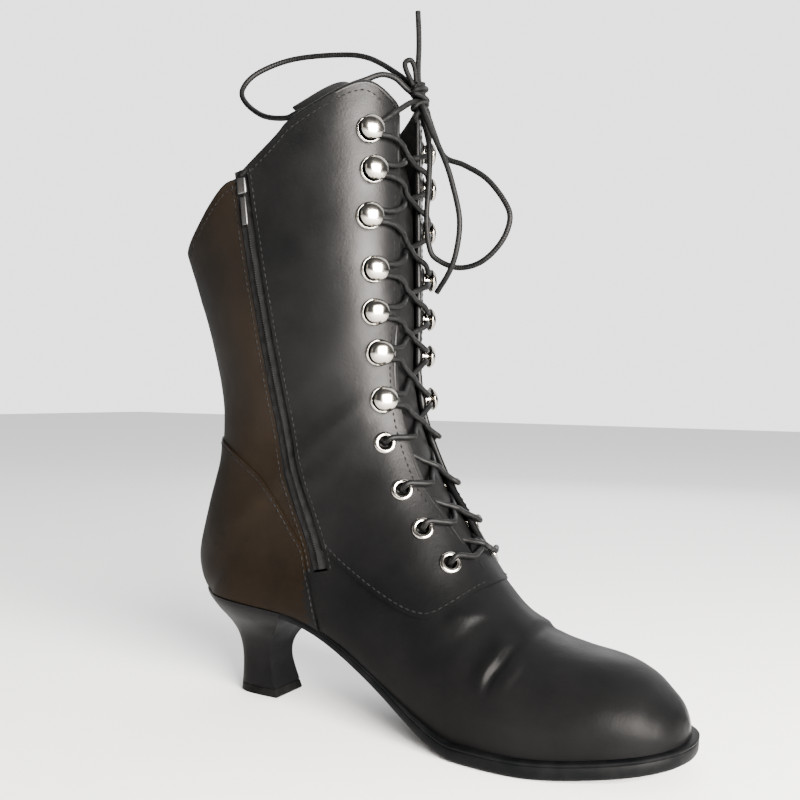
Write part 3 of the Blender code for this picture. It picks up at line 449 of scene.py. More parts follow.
def leather(name, low, high, rough_low, rough_high):
    """Smooth leather: fine pores, soft unevenness, and a painted sheen, its reflection strength growing with
    height over the floor.
    """
    made, shader = finish(name, high, 0.35)
    tree = made.node_tree
    place = tree.nodes.new("ShaderNodeTexCoord")
    split = tree.nodes.new("ShaderNodeSeparateXYZ")
    link(tree, place.outputs["Object"], split.inputs[0])
    # Painted sheen: the specular level grows with height, dull on the low boot and strong on the shaft
    painted_sheen = tree.nodes.new("ShaderNodeMapRange")
    dial(painted_sheen, From_Min=PAINTED_SHEEN_HEIGHTS[0], From_Max=PAINTED_SHEEN_HEIGHTS[1], To_Min=PAINTED_SHEEN_LEVELS[0],
         To_Max=PAINTED_SHEEN_LEVELS[1])
    link(tree, split.outputs["Z"], painted_sheen.inputs["Value"])
    link(tree, painted_sheen.outputs["Result"], shader.inputs["Specular IOR Level"])
    link(tree, ramp_of(tree, noise_of(tree, 22), ((0.3, low), (0.7, high))), shader.inputs["Base Color"])
    shades = ramp_of(tree, noise_of(tree, 60, detail=6), ((0.3, rough_low), (0.75, rough_high)))
    link(tree, shades, shader.inputs["Roughness"])
    pores = bump_from(tree, noise_of(tree, 1400, detail=2), 0.10, 0.0004)
    grain = bump_from(tree, noise_of(tree, 520, kind="VORONOI"), 0.10, 0.0003, pores)
    waves = bump_from(tree, noise_of(tree, 85, detail=3), 0.16, 0.0012, grain)
    link(tree, waves, shader.inputs["Normal"])
    return made


def woven(name, colour, lighter, scale, rough=0.75):
    """Textile: crossed threads as bump, a little uneven in colour."""
    made, shader = finish(name, colour, rough, specular=0.035)
    tree = made.node_tree
    shade = ramp_of(tree, noise_of(tree, 300), ((0.3, colour), (0.75, lighter)))
    link(tree, shade, shader.inputs["Base Color"])
    heights = []
    for direction in ("X", "Z"):
        place = tree.nodes.new("ShaderNodeTexCoord")
        wave = tree.nodes.new("ShaderNodeTexWave")
        wave.bands_direction = direction
        dial(wave, Scale=scale, Distortion=0.4)
        link(tree, place.outputs["Object"], wave.inputs["Vector"])
        heights.append(wave.outputs["Fac"])
    first = bump_from(tree, heights[0], 0.35, 0.0003)
    link(tree, bump_from(tree, heights[1], 0.35, 0.0003, first), shader.inputs["Normal"])
    return made


def braided(name, colour, lighter):
    """Waxed round lace: slanting braid along its own length."""
    made, shader = finish(name, colour, 0.50, specular=0.10)
    tree = made.node_tree
    shade = ramp_of(tree, noise_of(tree, 420), ((0.35, colour), (0.75, lighter)))
    link(tree, shade, shader.inputs["Base Color"])
    below = None
    for slant in (1.0, -1.0):
        place = tree.nodes.new("ShaderNodeTexCoord")
        turn = tree.nodes.new("ShaderNodeMapping")
        dial(turn, Scale=(1.0, 0.010, 1.0), Rotation=(0, 0, slant * 0.55))
        wave = tree.nodes.new("ShaderNodeTexWave")
        dial(wave, Scale=60)
        link(tree, place.outputs["UV"], turn.inputs["Vector"])
        link(tree, turn.outputs["Vector"], wave.inputs["Vector"])
        below = bump_from(tree, wave.outputs["Fac"], 0.25, 0.0002, below)
    link(tree, below, shader.inputs["Normal"])
    return made


def metal(name, colour, rough_low, rough_high):
    """Plated metal with fine scratches and a dull bloom."""
    made, shader = finish(name, colour, 0.25, metallic=1.0)
    tree = made.node_tree
    shades = ramp_of(tree, noise_of(tree, 260, detail=6), ((0.3, rough_low), (0.75, rough_high)))
    link(tree, shades, shader.inputs["Roughness"])
    link(tree, bump_from(tree, noise_of(tree, 900), 0.05, 0.0002), shader.inputs["Normal"])
    return made


def rubber(name, colour, lighter, rough):
    """Sole stuff: dull, finely speckled, lighter where it is rubbed."""
    made, shader = finish(name, colour, rough, specular=0.035)
    tree = made.node_tree
    shade = ramp_of(tree, noise_of(tree, 130, detail=8), ((0.4, colour), (0.8, lighter)))
    link(tree, shade, shader.inputs["Base Color"])
    fine = bump_from(tree, noise_of(tree, 1200), 0.12, 0.0003)
    link(tree, bump_from(tree, noise_of(tree, 90), 0.10, 0.0008, fine), shader.inputs["Normal"])
    return made


# Shapes of the last and the sole

def smooth(t):
    t = min(max(t, 0.0), 1.0)
    return t * t * (3 - 2 * t)


def sole_line(x):
    """Height of the sole's top face."""
    share = min(max(x / LENGTH, -0.5), 0.5)
    run = TREAD_BACK - WAIST_TOP
    t = min(max((TREAD_BACK - share) / run, 0.0), 1.0) ** ARCH_EARLY
    slope = SEAT_RISE / (0.5 + WAIST_TOP)
    arch = (SEAT_HEIGHT - FORE_THICKNESS) * smooth(t) + slope * run * (t ** 3 - t ** 2)
    seat = slope * max(WAIST_TOP - share, 0.0)
    toe = max(share - TOE_LIFT_START, 0.0) / (0.5 - TOE_LIFT_START)
    return FORE_THICKNESS + arch + seat + TOE_SPRING * toe ** 1.4


def sole_thickness(x):
    thin = smooth((TREAD_BACK - x / LENGTH) / (TREAD_BACK - WAIST_TOP))
    return FORE_THICKNESS + (WAIST_THICKNESS - FORE_THICKNESS) * thin


def row_at(u):
    """The section table's values at row number u."""
    u = min(max(u, 0.0), float(LAST_ROW))
    i = min(int(u), LAST_ROW - 1)
    t = u - i
    before, here, after = SECTIONS[max(i - 1, 0)], SECTIONS[i], SECTIONS[i + 1]
    beyond = SECTIONS[min(i + 2, LAST_ROW)]
    value = 0.5 * (2 * here + (after - before) * t
                   + (2 * before - 5 * here + 4 * after - beyond) * t * t
                   + (3 * here - before - 3 * after + beyond) * t ** 3)
    return dict(zip(COLUMNS, value.tolist()))


def section(u, inset=0.0):
    """Ends, direction, length and half widths of the section at row number u."""
    row = row_at(u)
    top_x = row["top_x"] * LENGTH
    low_x = row["low_x"] * LENGTH
    top = Vector((top_x, sole_line(top_x) + row["top_h"] * LEG_HEIGHT))
    low = Vector((low_x, sole_line(low_x) + row["low_h"] * LEG_HEIGHT))
    length = (top - low).length
    way = (top - low) / length
    half = BALL_WIDTH / 2
    return {
        "low": low + way * inset, "way": way, "length": length - 2 * inset,
        "wide": row["wide"], "full": row["full"], "mid": row["mid"] * half,
        -1: (max(row["in_w"] * half - inset, 0.0005), max(row["in_f"] * half - inset * 0.9, 0.0004)),
        1: (max(row["out_w"] * half - inset, 0.0005), max(row["out_f"] * half - inset * 0.9, 0.0004)),
    }


def half_width(cut, side, along):
    """Half width of a section at the share along of its length."""
    widest, foot = cut[side]
    wide = cut["wide"]
    if along >= wide:
        rest = min((along - wide) / (1 - wide), 1.0)
        return widest * (1 - rest ** cut["full"]) ** (1 / cut["full"])
    rest = min((wide - along) / wide, 1.0)
    return foot + (widest - foot) * (1 - rest ** LOW_ROUND) ** (1 / LOW_ROUND)


def ring(u, inset=0.0, flat=4, low=14, top=26):
    """Points of one section, round from the low middle by the outer side and the top."""
    cut = section(u, inset)
    shape = []
    for side in (1, -1):
        widest, foot = cut[side]
        part = [(foot * k / flat, 0.0) for k in range(flat)]
        for k in range(low):
            turn = math.pi / 2 * (1 - k / low)
            width = foot + (widest - foot) * math.cos(turn) ** (2 / LOW_ROUND)
            part.append((width, cut["wide"] * (1 - math.sin(turn) ** (2 / LOW_ROUND))))
        for k in range(top + 1):
            turn = math.pi / 2 * k / top
            width = widest * max(math.cos(turn), 0.0) ** (2 / cut["full"])
            part.append((width, cut["wide"] + (1 - cut["wide"]) * math.sin(turn) ** (2 / cut["full"])))
        shape.append([(side * w, a) for w, a in part])
    outer, inner = shape
    points = []
    for width, along in outer[:-1] + inner[:0:-1]:
        spot = cut["low"] + cut["way"] * cut["length"] * along
        points.append(Vector((spot.x, cut["mid"] + width, spot.y)))
    return points


def row_through(x, z):
    """The row number of the section that holds the point x, z of the side view."""
    low, high = 0.0, float(LAST_ROW)
    for _ in range(20):
        middle = (low + high) / 2
        cut = section(middle)
        across = cut["way"].x * (z - cut["low"].y) - cut["way"].y * (x - cut["low"].x)
        if across > 0:
            low = middle
        else:
            high = middle
    return (low + high) / 2


def side_y(x, z, side, inset=0.0):
    """Y of the upper's surface at x, z of the side view."""
    cut = section(row_through(x, z), inset)
    along = ((x - cut["low"].x) * cut["way"].x + (z - cut["low"].y) * cut["way"].y) / cut["length"]
    if along <= 0 or along >= 1:
        return cut["mid"]
    return cut["mid"] + side * half_width(cut, side, along)


def rows(start, end, count):
    return [start + (end - start) * k / (count - 1) for k in range(count)]


def side_points(table):
    """A side-view line in metres."""
    return [(x * LENGTH, sole_line(x * LENGTH) + h * LEG_HEIGHT) for x, h in table]


def curve_through(points, steps=8):
    """A smooth curve through points of any dimension."""
    line = [Vector(p) for p in points]
    line = [line[0] * 2 - line[1]] + line + [line[-1] * 2 - line[-2]]
    fine = []
    for i in range(1, len(line) - 2):
        a, b, c, d = line[i - 1:i + 3]
        for k in range(steps):
            t = k / steps
            fine.append(0.5 * (2 * b + (c - a) * t + (2 * a - 5 * b + 4 * c - d) * t * t
                               + (3 * b - a - 3 * c + d) * t ** 3))
    fine.append(line[-2])
    return fine


def evenly(points, step=None, count=None):
    """Points at even steps along a line."""
    line = [Vector(p) for p in points]
    runs = np.concatenate([[0.0], np.cumsum([(q - p).length for p, q in zip(line, line[1:])])])
    count = count or max(int(round(runs[-1] / step)) + 1, 2)
    spread = np.linspace(0, runs[-1], count)
    size = len(line[0])
    return [Vector([float(np.interp(w, runs, [p[k] for p in line])) for k in range(size)]) for w in spread]


def offset_line(points, distances):
    """Move an open flat line to its left by a distance for each point."""
    moved = []
    last = len(points) - 1
    for i, (x, y) in enumerate(points):
        ahead = points[min(i + 1, last)]
        behind = points[max(i - 1, 0)]
        way = Vector((ahead[0] - behind[0], ahead[1] - behind[1])).normalized()
        moved.append((x - way.y * distances[i], y + way.x * distances[i]))
    return moved


# Making and cutting meshes

def grid_piece(name, lines, closed=False, capped=False):
    """A grid whose rows are laid on the given lines, joined round and capped if asked."""
    count = len(lines[0]) + (1 if closed else 0)
    bpy.ops.object.select_all(action="DESELECT")
    bpy.ops.mesh.primitive_grid_add(x_subdivisions=count - 1, y_subdivisions=len(lines) - 1, size=1)
    piece = bpy.context.object
    piece.name = name
    places = [p for line in lines for p in (line + line[:1] if closed else line)]
    piece.data.vertices.foreach_set("co", np.array([tuple(p) for p in places]).ravel())
    open_mesh()
    if closed:
        bpy.ops.mesh.remove_doubles(threshold=1e-6)
    if capped:
        bpy.ops.mesh.select_all(action="DESELECT")
        bpy.ops.mesh.select_non_manifold()
        bpy.ops.mesh.fill_holes(sides=0)
        bpy.ops.mesh.select_all(action="SELECT")
        bpy.ops.mesh.normals_make_consistent(inside=False)
    close_mesh()
    bpy.ops.object.shade_smooth()
    return piece


def prism(outline, axis, start, end):
    """A cutter: an outline in the plane across axis, drawn out from start to end."""
    def place(a, b, depth):
        return Vector((a, depth, b)) if axis == "y" else Vector((depth, a, b))
    lines = [[place(a, b, depth) for a, b in outline] for depth in (start, end)]
    return grid_piece("cutter", lines, closed=True, capped=True)


def carve(piece, cutter, operation="DIFFERENCE"):
    """Apply a Boolean and remove the cutter."""
    only(piece)
    change = piece.modifiers.new("carve", "BOOLEAN")
    change.operation = operation
    change.object = cutter
    change.solver = "MANIFOLD"
    bpy.ops.object.modifier_apply(modifier=change.name)
    bpy.data.objects.remove(cutter, do_unlink=True)
    return piece


def apply_modifier(piece, kind, **values):
    """Add a modifier, set it and apply it."""
    only(piece)
    change = piece.modifiers.new(kind.lower(), kind)
    for key, value in values.items():
        setattr(change, key, value)
    bpy.ops.object.modifier_apply(modifier=change.name)


def join_all(name, parts):
    """Join objects into one."""
    bpy.ops.object.select_all(action="DESELECT")
    for part in parts:
        part.select_set(True)
    bpy.context.view_layer.objects.active = parts[0]
    bpy.ops.object.join()
    parts[0].name = name
    return parts[0]


def tree_of(piece):
    """A surface to place other pieces on."""
    graph = bpy.context.evaluated_depsgraph_get()
    return BVHTree.FromObject(piece, graph)


# A surface far off the boot, where nothing is hit
NO_SURFACE = BVHTree.FromPolygons([(0, 0, -9), (1, 0, -9), (0, 1, -9)], [(0, 1, 2)])


def settle(piece, slot, look, *nodes, smooth_angle=None):
    """Give a piece its finish and its place over the frame."""
    if look is not None:
        piece.data.materials.clear()
        piece.data.materials.append(look)
    if smooth_angle and piece.type == "MESH":
        only(piece)
        bpy.ops.object.shade_smooth_by_angle(angle=math.radians(smooth_angle))
    piece.data.transform(Matrix.Translation(CENTRE))
    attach(piece, "root")
    if nodes:
        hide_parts(*nodes)
    return piece


# Upper

def leather_shift(piece, lift):
    """Move the surface out by lift, with its folds and soft unevenness."""
    mesh = piece.data
    count = len(mesh.vertices)
    places = np.empty(count * 3)
    mesh.vertices.foreach_get("co", places)
    places = places.reshape(-1, 3)
    normals = np.empty(count * 3)
    mesh.vertex_normals.foreach_get("vector", normals)
    normals = normals.reshape(-1, 3)
    change = np.zeros(count)
    for middle, across, width, height, reach in CREASES:
        away = places - np.array(middle)
        across = np.array(Vector(across).normalized())
        off = away @ across
        along = np.sqrt(np.maximum((away ** 2).sum(axis=1) - off ** 2, 0.0))
        bend = off + 0.0009 * np.sin(along / 0.0045)
        fade = np.exp(-(along / reach) ** 4)
        wide = np.where(bend < 0, 3.0 * width, width)
        fold = np.exp(-(bend / wide) ** 2) - 0.35 * np.exp(-((bend - 2.3 * width) / (0.9 * width)) ** 2)
        change += height * fold * fade
    soft = np.array([noise.noise(Vector(p) * 42.0) + 0.5 * noise.noise(Vector(p) * 95.0)
                     for p in places.tolist()])
    still = np.clip((places[:, 2] - 0.012) / 0.02, 0.0, 1.0)
    change += 0.00028 * soft * still
    places += normals * (change + lift)[:, None]
    mesh.vertices.foreach_set("co", places.ravel())
    mesh.update()


def skin_form(lift, first, last):
    """A closed body of the last's outside between two rows of the section table."""
    levels = [first]
    while levels[-1] < last:
        creased = CREASE_FINE_ROWS[0] < levels[-1] < CREASE_FINE_ROWS[1]
        levels.append(min(levels[-1] + (CREASE_FINE_STEP if creased else SKIN_STEP), last))
    form = grid_piece("form", [ring(u) for u in levels], closed=True, capped=True)
    leather_shift(form, lift)
    return form


def throat_half(z):
    """Half width of the throat: widest at the ankle, narrowest at its foot."""
    return float(np.interp(z, [height for height, _ in THROAT_WIDTHS], [half for _, half in THROAT_WIDTHS]))


def throat_outline():
    """Front view of the opening, with the tab of the vamp standing in its foot."""
    tab = []
    for k in range(33):
        turn = math.pi * k / 32
        tab.append((-TAB_HALF_WIDTH * math.cos(turn),
                    THROAT_FOOT + (TAB_TOP - THROAT_FOOT) * math.sin(turn) ** 0.6))
    left = [(-throat_half(z), z) for z in [0.5] + rows(0.300, 0.080, 45)]
    right = [(-y, z) for y, z in reversed(left)]
    return left + tab + right


def region_line(table, rounds=3):
    """A side-view line with its corners softened."""
    line = [Vector(p) for p in side_points(table)]
    for _ in range(rounds):
        soft = [line[0]]
        for a, b in zip(line, line[1:]):
            soft += [a.lerp(b, 0.25), a.lerp(b, 0.75)]
        line = soft + [line[-1]]
    return [tuple(p) for p in line]


def zip_station(share):
    """Centre of the zip in the side view and the direction across it."""
    line = evenly(region_line(ZIP_LINE), count=60)
    place = min(max(share, 0.0), 1.0) * (len(line) - 1)
    i = min(int(place), len(line) - 2)
    a, b = Vector(line[i]), Vector(line[i + 1])
    along = (b - a).normalized()
    return a + (b - a) * (place - i), Vector((-along.y, along.x))


def zip_edges(half, first=0.0, last=1.0, count=60):
    """Rear and front edge of the zip's band in the side view."""
    rear, front = [], []
    for share in rows(first, last, count):
        centre, across = zip_station(share)
        rear.append(tuple(centre + across * half))
        front.append(tuple(centre - across * half))
    return rear, front


def build_upper(front_leather, back_leather, lining):
    """Shell of the upper: vamp, quarters, back panel and counter, lined, with its openings."""
    upper = skin_form(0.0, 0.0, LAST_ROW)
    quarter = skin_form(OVERLAY, 6.1, LAST_ROW - 0.3)
    quarter_region = region_line(QUARTER_SEAM) + region_line(ZIP_LINE)[::-1]
    quarter_region += [(-0.0857, 0.360), (0.120, 0.360)]
    carve(quarter, prism(quarter_region, "y", -0.1, 0.1), "INTERSECT")
    carve(upper, quarter, "UNION")
    counter = skin_form(OVERLAY, 11.2, 24.3)
    carve(counter, prism(region_line(COUNTER_SEAM), "y", -0.1, 0.1), "INTERSECT")
    carve(upper, counter, "UNION")

    stations = [LENGTH * (-0.62 + 1.24 * k / 240) for k in range(241)]
    floor = [(x, sole_line(x) + CLEARANCE) for x in stations] + [(stations[-1], -0.05), (stations[0], -0.05)]
    carve(upper, prism(floor, "y", -0.1, 0.1))
    sky = region_line(COLLAR) + [(-0.2, 0.5), (0.1, 0.5)]
    carve(upper, prism(sky, "y", -0.1, 0.1))
    upper.data.materials.clear()
    for look in (front_leather, back_leather, lining):
        upper.data.materials.append(look)
    for face in upper.data.polygons:
        face.material_index = 1 if behind_zip(face.center) else 0
    hollow_rows = rows(1.7, LAST_ROW - 0.15, 90)
    hollow = grid_piece("hollow", [ring(u, WALL, 2, 9, 16) for u in hollow_rows], closed=True, capped=True)
    for look in (front_leather, back_leather, lining):
        hollow.data.materials.append(look)
    for face in hollow.data.polygons:
        face.material_index = 2
    carve(upper, hollow)
    carve(upper, prism(throat_outline(), "x", -0.045, 0.1))
    carve(upper, eyelet_holes())
    rear, front = zip_edges(ZIP_WIDTH / 2)
    carve(upper, prism(rear + front[::-1], "y", -0.1, -0.008))
    return upper


def behind_zip(spot):
    """True on the back panel and the counter."""
    line = side_points(ZIP_LINE)
    level = sorted((z, x) for x, z in line)
    edge = float(np.interp(spot.z, [z for z, _ in level], [x for _, x in level]))
    if spot.z < level[0][0]:
        edge = -0.181 * LENGTH
    return spot.x < edge


# Hooks, eyelets, stitches and laces

def front_x(y, z, inset=0.0):
    """X of the upper's front surface at height z and sideways place y."""
    side = 1 if y >= 0 else -1
    low, high = -0.060, 0.125
    for _ in range(20):
        middle = (low + high) / 2
        if (side_y(middle, z, side, inset) - y) * side > 0:
            low = middle
        else:
            high = middle
    return (low + high) / 2


def trim_spot(place, side, surface):
    """A point on the front's edge and its outward direction, as the source places its trim."""
    height, share = place
    y = side * share * BALL_WIDTH / 2
    z = FORE_THICKNESS + height * LEG_HEIGHT
    for _ in range(4):
        z = sole_line(front_x(y, z, -OVERLAY)) + height * LEG_HEIGHT
    step = 0.0008
    here = Vector((front_x(y, z, -OVERLAY), y, z))
    dy = Vector((front_x(y + step, z, -OVERLAY) - front_x(y - step, z, -OVERLAY), 2 * step, 0))
    dz = Vector((front_x(y, z + step, -OVERLAY) - front_x(y, z - step, -OVERLAY), 0, 2 * step))
    out = dy.cross(dz).normalized()
    hit = surface.ray_cast(here + out * 0.004, -out, 0.009)[0]
    return (hit or here), out


def eyelet_holes():
    """Cutter for the holes that the eyelets' barrels pass through."""
    holes = []
    for place in EYELET_PLACES:
        for side in (-1, 1):
            spot, out = trim_spot(place, side, NO_SURFACE)
            bpy.ops.object.select_all(action="DESELECT")
            bpy.ops.mesh.primitive_cylinder_add(vertices=32, radius=EYELET_BARREL + CLEARANCE, depth=0.009)
            hole = bpy.context.object
            turn = Vector((0, 0, 1)).rotation_difference(out).to_matrix().to_4x4()
            hole.data.transform(Matrix.Translation(spot) @ turn)
            holes.append(hole)
    return join_all("holes", holes)


def spun(name, profile, steps=40):
    """A profile of radius and height spun about the upright axis."""
    bpy.ops.object.select_all(action="DESELECT")
    bpy.ops.mesh.primitive_grid_add(x_subdivisions=len(profile) - 1, y_subdivisions=1, size=1)
    piece = bpy.context.object
    piece.name = name
    open_mesh("DESELECT")
    close_mesh()
    count = len(profile)
    for vertex in piece.data.vertices:
        vertex.select = vertex.index >= count
    for vertex, (radius, height) in zip(piece.data.vertices, profile):
        vertex.co = (radius, 0, height)
    bpy.ops.object.mode_set(mode="EDIT")
    bpy.ops.mesh.delete(type="VERT")
    bpy.ops.mesh.select_all(action="SELECT")
    bpy.ops.mesh.spin(steps=steps, angle=2 * math.pi, center=(0, 0, 0), axis=(0, 0, 1))
    bpy.ops.mesh.select_all(action="SELECT")
    bpy.ops.mesh.remove_doubles(threshold=1e-6)
    bpy.ops.mesh.normals_make_consistent(inside=False)
    close_mesh()
    bpy.ops.object.shade_smooth()
    return piece


def rounded(corners, reach=0.00025, steps=3):
    """A profile with its inner corners rounded."""
    line = [Vector(c) for c in corners]
    made = [tuple(line[0])]
    for before, here, after in zip(line, line[1:], line[2:]):
        a = here + (before - here).normalized() * min(reach, (before - here).length * 0.4)
        b = here + (after - here).normalized() * min(reach, (after - here).length * 0.4)
        for k in range(steps + 1):
            t = k / steps
            made.append(tuple(a * (1 - t) ** 2 + here * 2 * t * (1 - t) + b * t * t))
    made.append(tuple(line[-1]))
    return made


def stand_on(model, name, spot, out):
    """A copy of a model standing on a spot, its own mesh turned to the direction out."""
    copy = bpy.data.objects.new(name, model.data.copy())
    bpy.context.collection.objects.link(copy)
    turn = Vector((0, 0, 1)).rotation_difference(out).to_matrix().to_4x4()
    copy.data.transform(Matrix.Translation(spot) @ turn)
    return copy


def hook_model():
    """Stud with a stamped base, a waisted neck and a domed head with a rolled rim."""
    base = HOOK_BASE_HEIGHT
    neck = base + HOOK_NECK_HEIGHT
    top = neck + HOOK_DOME_HEIGHT
    profile = rounded((
        (0.0, 0.0), (HOOK_BASE_RADIUS, 0.0), (HOOK_BASE_RADIUS, base * 0.45),
        (HOOK_BASE_RADIUS * 0.90, base * 0.95),
        (HOOK_BASE_RADIUS * 0.72, base * 0.72), (HOOK_NECK_RADIUS * 1.35, base * 0.80),
        (HOOK_NECK_RADIUS, base * 1.5), (HOOK_NECK_RADIUS, neck - 0.0006), (HOOK_NECK_RADIUS * 1.5, neck),
        (HOOK_DOME_RADIUS * 0.92, neck - 0.0001), (HOOK_DOME_RADIUS, neck + 0.0004),
        (HOOK_DOME_RADIUS * 0.97, neck + 0.0009),
    ))
    for k in range(1, 12):
        turn = math.pi / 2 * k / 11
        height = neck + 0.0009 + (top - neck - 0.0009) * math.sin(turn)
        profile.append((HOOK_DOME_RADIUS * 0.94 * math.cos(turn), height))
    profile[-1] = (0.0, top)
    return spun("hook_model", profile)


def eyelet_model():
    """Rolled ring with a barrel."""
    profile = []
    middle = (EYELET_RADIUS + EYELET_BORE) / 2
    across = (EYELET_RADIUS - EYELET_BORE) / 2
    for k in range(13):
        turn = math.pi * k / 12
        profile.append((middle + across * math.cos(turn), 0.0001 + EYELET_HEIGHT * math.sin(turn) ** 0.8))
    profile += [(EYELET_BORE, -0.0025), (EYELET_BARREL, -0.0025)]
    profile += [(EYELET_BARREL, 0.0), (EYELET_RADIUS, 0.0001)]
    return spun("eyelet_model", profile)


def place_trim(surface, nickel):
    """All hooks and eyelets, on the leather where the frame has them."""
    spots = {}
    hooks = ("hook", hook_model(), HOOK_PLACES)
    eyelets = ("eyelet", eyelet_model(), EYELET_PLACES)
    for kind, model, places in (hooks, eyelets):
        for side, word in SIDES:
            for k, place in enumerate(places):
                node = f"{kind}_{word}_{k + 1}"
                spot, out = trim_spot(place, side, surface)
                spots[node] = (spot, out)
                piece = stand_on(model, node + "_bright", spot, out)
                settle(piece, "nickel", nickel, node, smooth_angle=50)
        bpy.data.objects.remove(model, do_unlink=True)
    return spots


def side_spot(surface, x, z, side):
    """Point and direction out of the leather at x, z of the side view."""
    hit = surface.ray_cast(Vector((x, side * 0.2, z)), Vector((0, -side, 0)))
    return (hit[0], hit[1]) if hit[0] is not None else None


def front_spot(surface, y, z):
    """Point and direction out at y, z of the front view."""
    hit = surface.ray_cast(Vector((0.3, y, z)), Vector((-1, 0, 0)))
    return (hit[0], hit[1]) if hit[0] is not None else None


def stitch_row(name, spots, step=STITCH_STEP, length=STITCH_LENGTH, width=STITCH_WIDTH):
    """Stitches along a line of surface points: short lengths of thread sunk at both ends."""
    places = [p for p, _ in spots]
    runs = np.concatenate([[0.0], np.cumsum([(q - p).length for p, q in zip(places, places[1:])])])
    count = max(int(runs[-1] / step), 1)
    bpy.ops.object.select_all(action="DESELECT")
    bpy.ops.mesh.primitive_cylinder_add(vertices=6, radius=width, depth=length, end_fill_type="TRIFAN")
    model = bpy.context.object
    open_mesh()
    bpy.ops.mesh.subdivide(number_cuts=1)
    close_mesh()
    shape = np.array([v.co[:] for v in model.data.vertices])
    faces = [tuple(f.vertices) for f in model.data.polygons]
    bpy.data.objects.remove(model, do_unlink=True)
    t = np.abs(shape[:, 2]) / (length / 2)
    squeeze = np.sqrt(np.maximum(1 - (t * 0.93) ** 2, 0.05))
    shape[:, 0] *= squeeze
    shape[:, 1] *= squeeze
    shape[:, 0] -= 0.0002 * t ** 2
    points, all_faces = [], []
    for k in range(count):
        w = (k + 0.5) * runs[-1] / count
        i = min(int(np.searchsorted(runs, w)) - 1, len(places) - 2)
        i = max(i, 0)
        share = (w - runs[i]) / max(runs[i + 1] - runs[i], 1e-9)
        here = places[i].lerp(places[i + 1], share)
        out = spots[i][1].lerp(spots[i + 1][1], share).normalized()
        along = (places[i + 1] - places[i]).normalized()
        out = (out - along * out.dot(along)).normalized()
        beside = along.cross(out)
        frame = np.array((out, beside, along))
        start = len(points)
        points += (shape @ frame + np.array(here + out * width * 0.25)).tolist()
        all_faces += [tuple(start + v for v in face) for face in faces]
    mesh = bpy.data.meshes.new(name)
    mesh.from_pydata(points, [], all_faces)
    piece = bpy.data.objects.new(name, mesh)
    bpy.context.collection.objects.link(piece)
    return piece


def lace_curve(name, points, diameter=LACE_DIAMETER, resolution=5):
    """A round lace along points."""
    bpy.ops.object.select_all(action="DESELECT")
    bpy.ops.curve.primitive_bezier_curve_add()
    piece = bpy.context.object
    piece.name = name
    piece.data.splines.clear()
    spline = piece.data.splines.new("POLY")
    spline.points.add(len(points) - 1)
    for point, spot in zip(spline.points, points):
        point.co = (*spot, 1)
    spline.use_smooth = True
    piece.data.dimensions = "3D"
    piece.data.bevel_depth = diameter / 2
    piece.data.bevel_resolution = resolution
    piece.data.use_fill_caps = True
    return piece


def inward(spot, side):
    """Direction over the leather towards the throat."""
    point, out = spot
    across = Vector((0, -side, 0))
    return (across - out * out.dot(across)).normalized()


def lace_rise(y, z, reach):
    """How far the lace's middle stands off the front: over a hook's base, and low over the throat."""
    high = OVERLAY + 3 * CLEARANCE + HOOK_BASE_HEIGHT + LACE_DIAMETER / 2
    low = OVERLAY + LACE_EDGE_GAP + LACE_DIAMETER / 2
    edge = throat_half(z)
    if abs(y) > edge:
        return low + (high - low) * min((abs(y) - edge) / (reach - edge), 1.0)
    dip = LACE_DIP * min(max((z - TAB_TOP) / LACE_DIP_RUN, 0.0), 1.0)
    return low - dip * (1 - (y / edge) ** 2)


def lace_run(spots, first_word, first_over):
    """One half of the lace: up through the eyelets, round the hooks, to the knot."""
    order = [("eyelet", k) for k in (4, 3, 2, 1)] + [("hook", k) for k in (7, 6, 5, 4, 3, 2, 1)]
    words = {"inner": -1, "outer": 1}
    word = first_word
    radius = LACE_DIAMETER / 2
    path = []
    for i, (kind, k) in enumerate(order):
        side = words[word]
        point, out = spots[f"{kind}_{word}_{k}"]
        to_throat = inward((point, out), side)
        up = out.cross(to_throat)
        up = up if up.z > 0 else -up
        if kind == "eyelet":
            path.append(point - out * 0.0045 + to_throat * 0.0008)
            path.append(point - out * 0.0010)
            path.append(point + out * 0.0015 + to_throat * 0.0009 + up * 0.0003)
            path.append(point + out * 0.0026 + to_throat * 0.0038 + up * 0.0009)
            leave = EYELET_LEAVE
        else:
            rise = 0.0003 + HOOK_BASE_HEIGHT + radius + 0.0001
            grip = HOOK_NECK_RADIUS + radius
            for across, along in HOOK_TURN:
                path.append(point + out * rise + to_throat * grip * across + up * grip * along)
            leave = HOOK_LEAVE
        if i + 1 == len(order):
            break
        next_kind, next_k = order[i + 1]
        other = "outer" if word == "inner" else "inner"
        target = spots[f"{next_kind}_{other}_{next_k}"][0]
        over = radius * (1.05 if first_over ^ (i % 2 == 0) else -1.05)
        start_y, end_y = point.y - side * leave, target.y + side * HOOK_LEAVE
        start_z, end_z = point.z + STRAND_RISE, target.z - STRAND_RISE
        reach = abs(point.y)
        for t in STRAND_STATIONS:
            y = start_y + (end_y - start_y) * t
            z = start_z + (end_z - start_z) * t
            lift = lace_rise(y, z, reach) + over * math.exp(-((t - 0.5) / 0.13) ** 2)
            if next_kind == "eyelet":
                share = smooth((t - 0.5) / 0.22)
                lift = lift * (1 - share) - (WALL + radius + 0.0002) * share
            path.append(Vector((front_x(y, z, -lift), y, z)))
        if next_kind == "eyelet":
            path.append(target + Vector((-0.0048, -side * 0.0004, -0.0006)))
        word = other
    end = Vector(KNOT_CENTRE)
    path.append(path[-1].lerp(end, 0.35) + Vector((0.0022, 0, 0.0016)))
    path.append(path[-1].lerp(end, 0.5) + Vector((0.0012, 0, 0.0010)))
    path.append(end + Vector((0, 0, -0.001)))
    return path


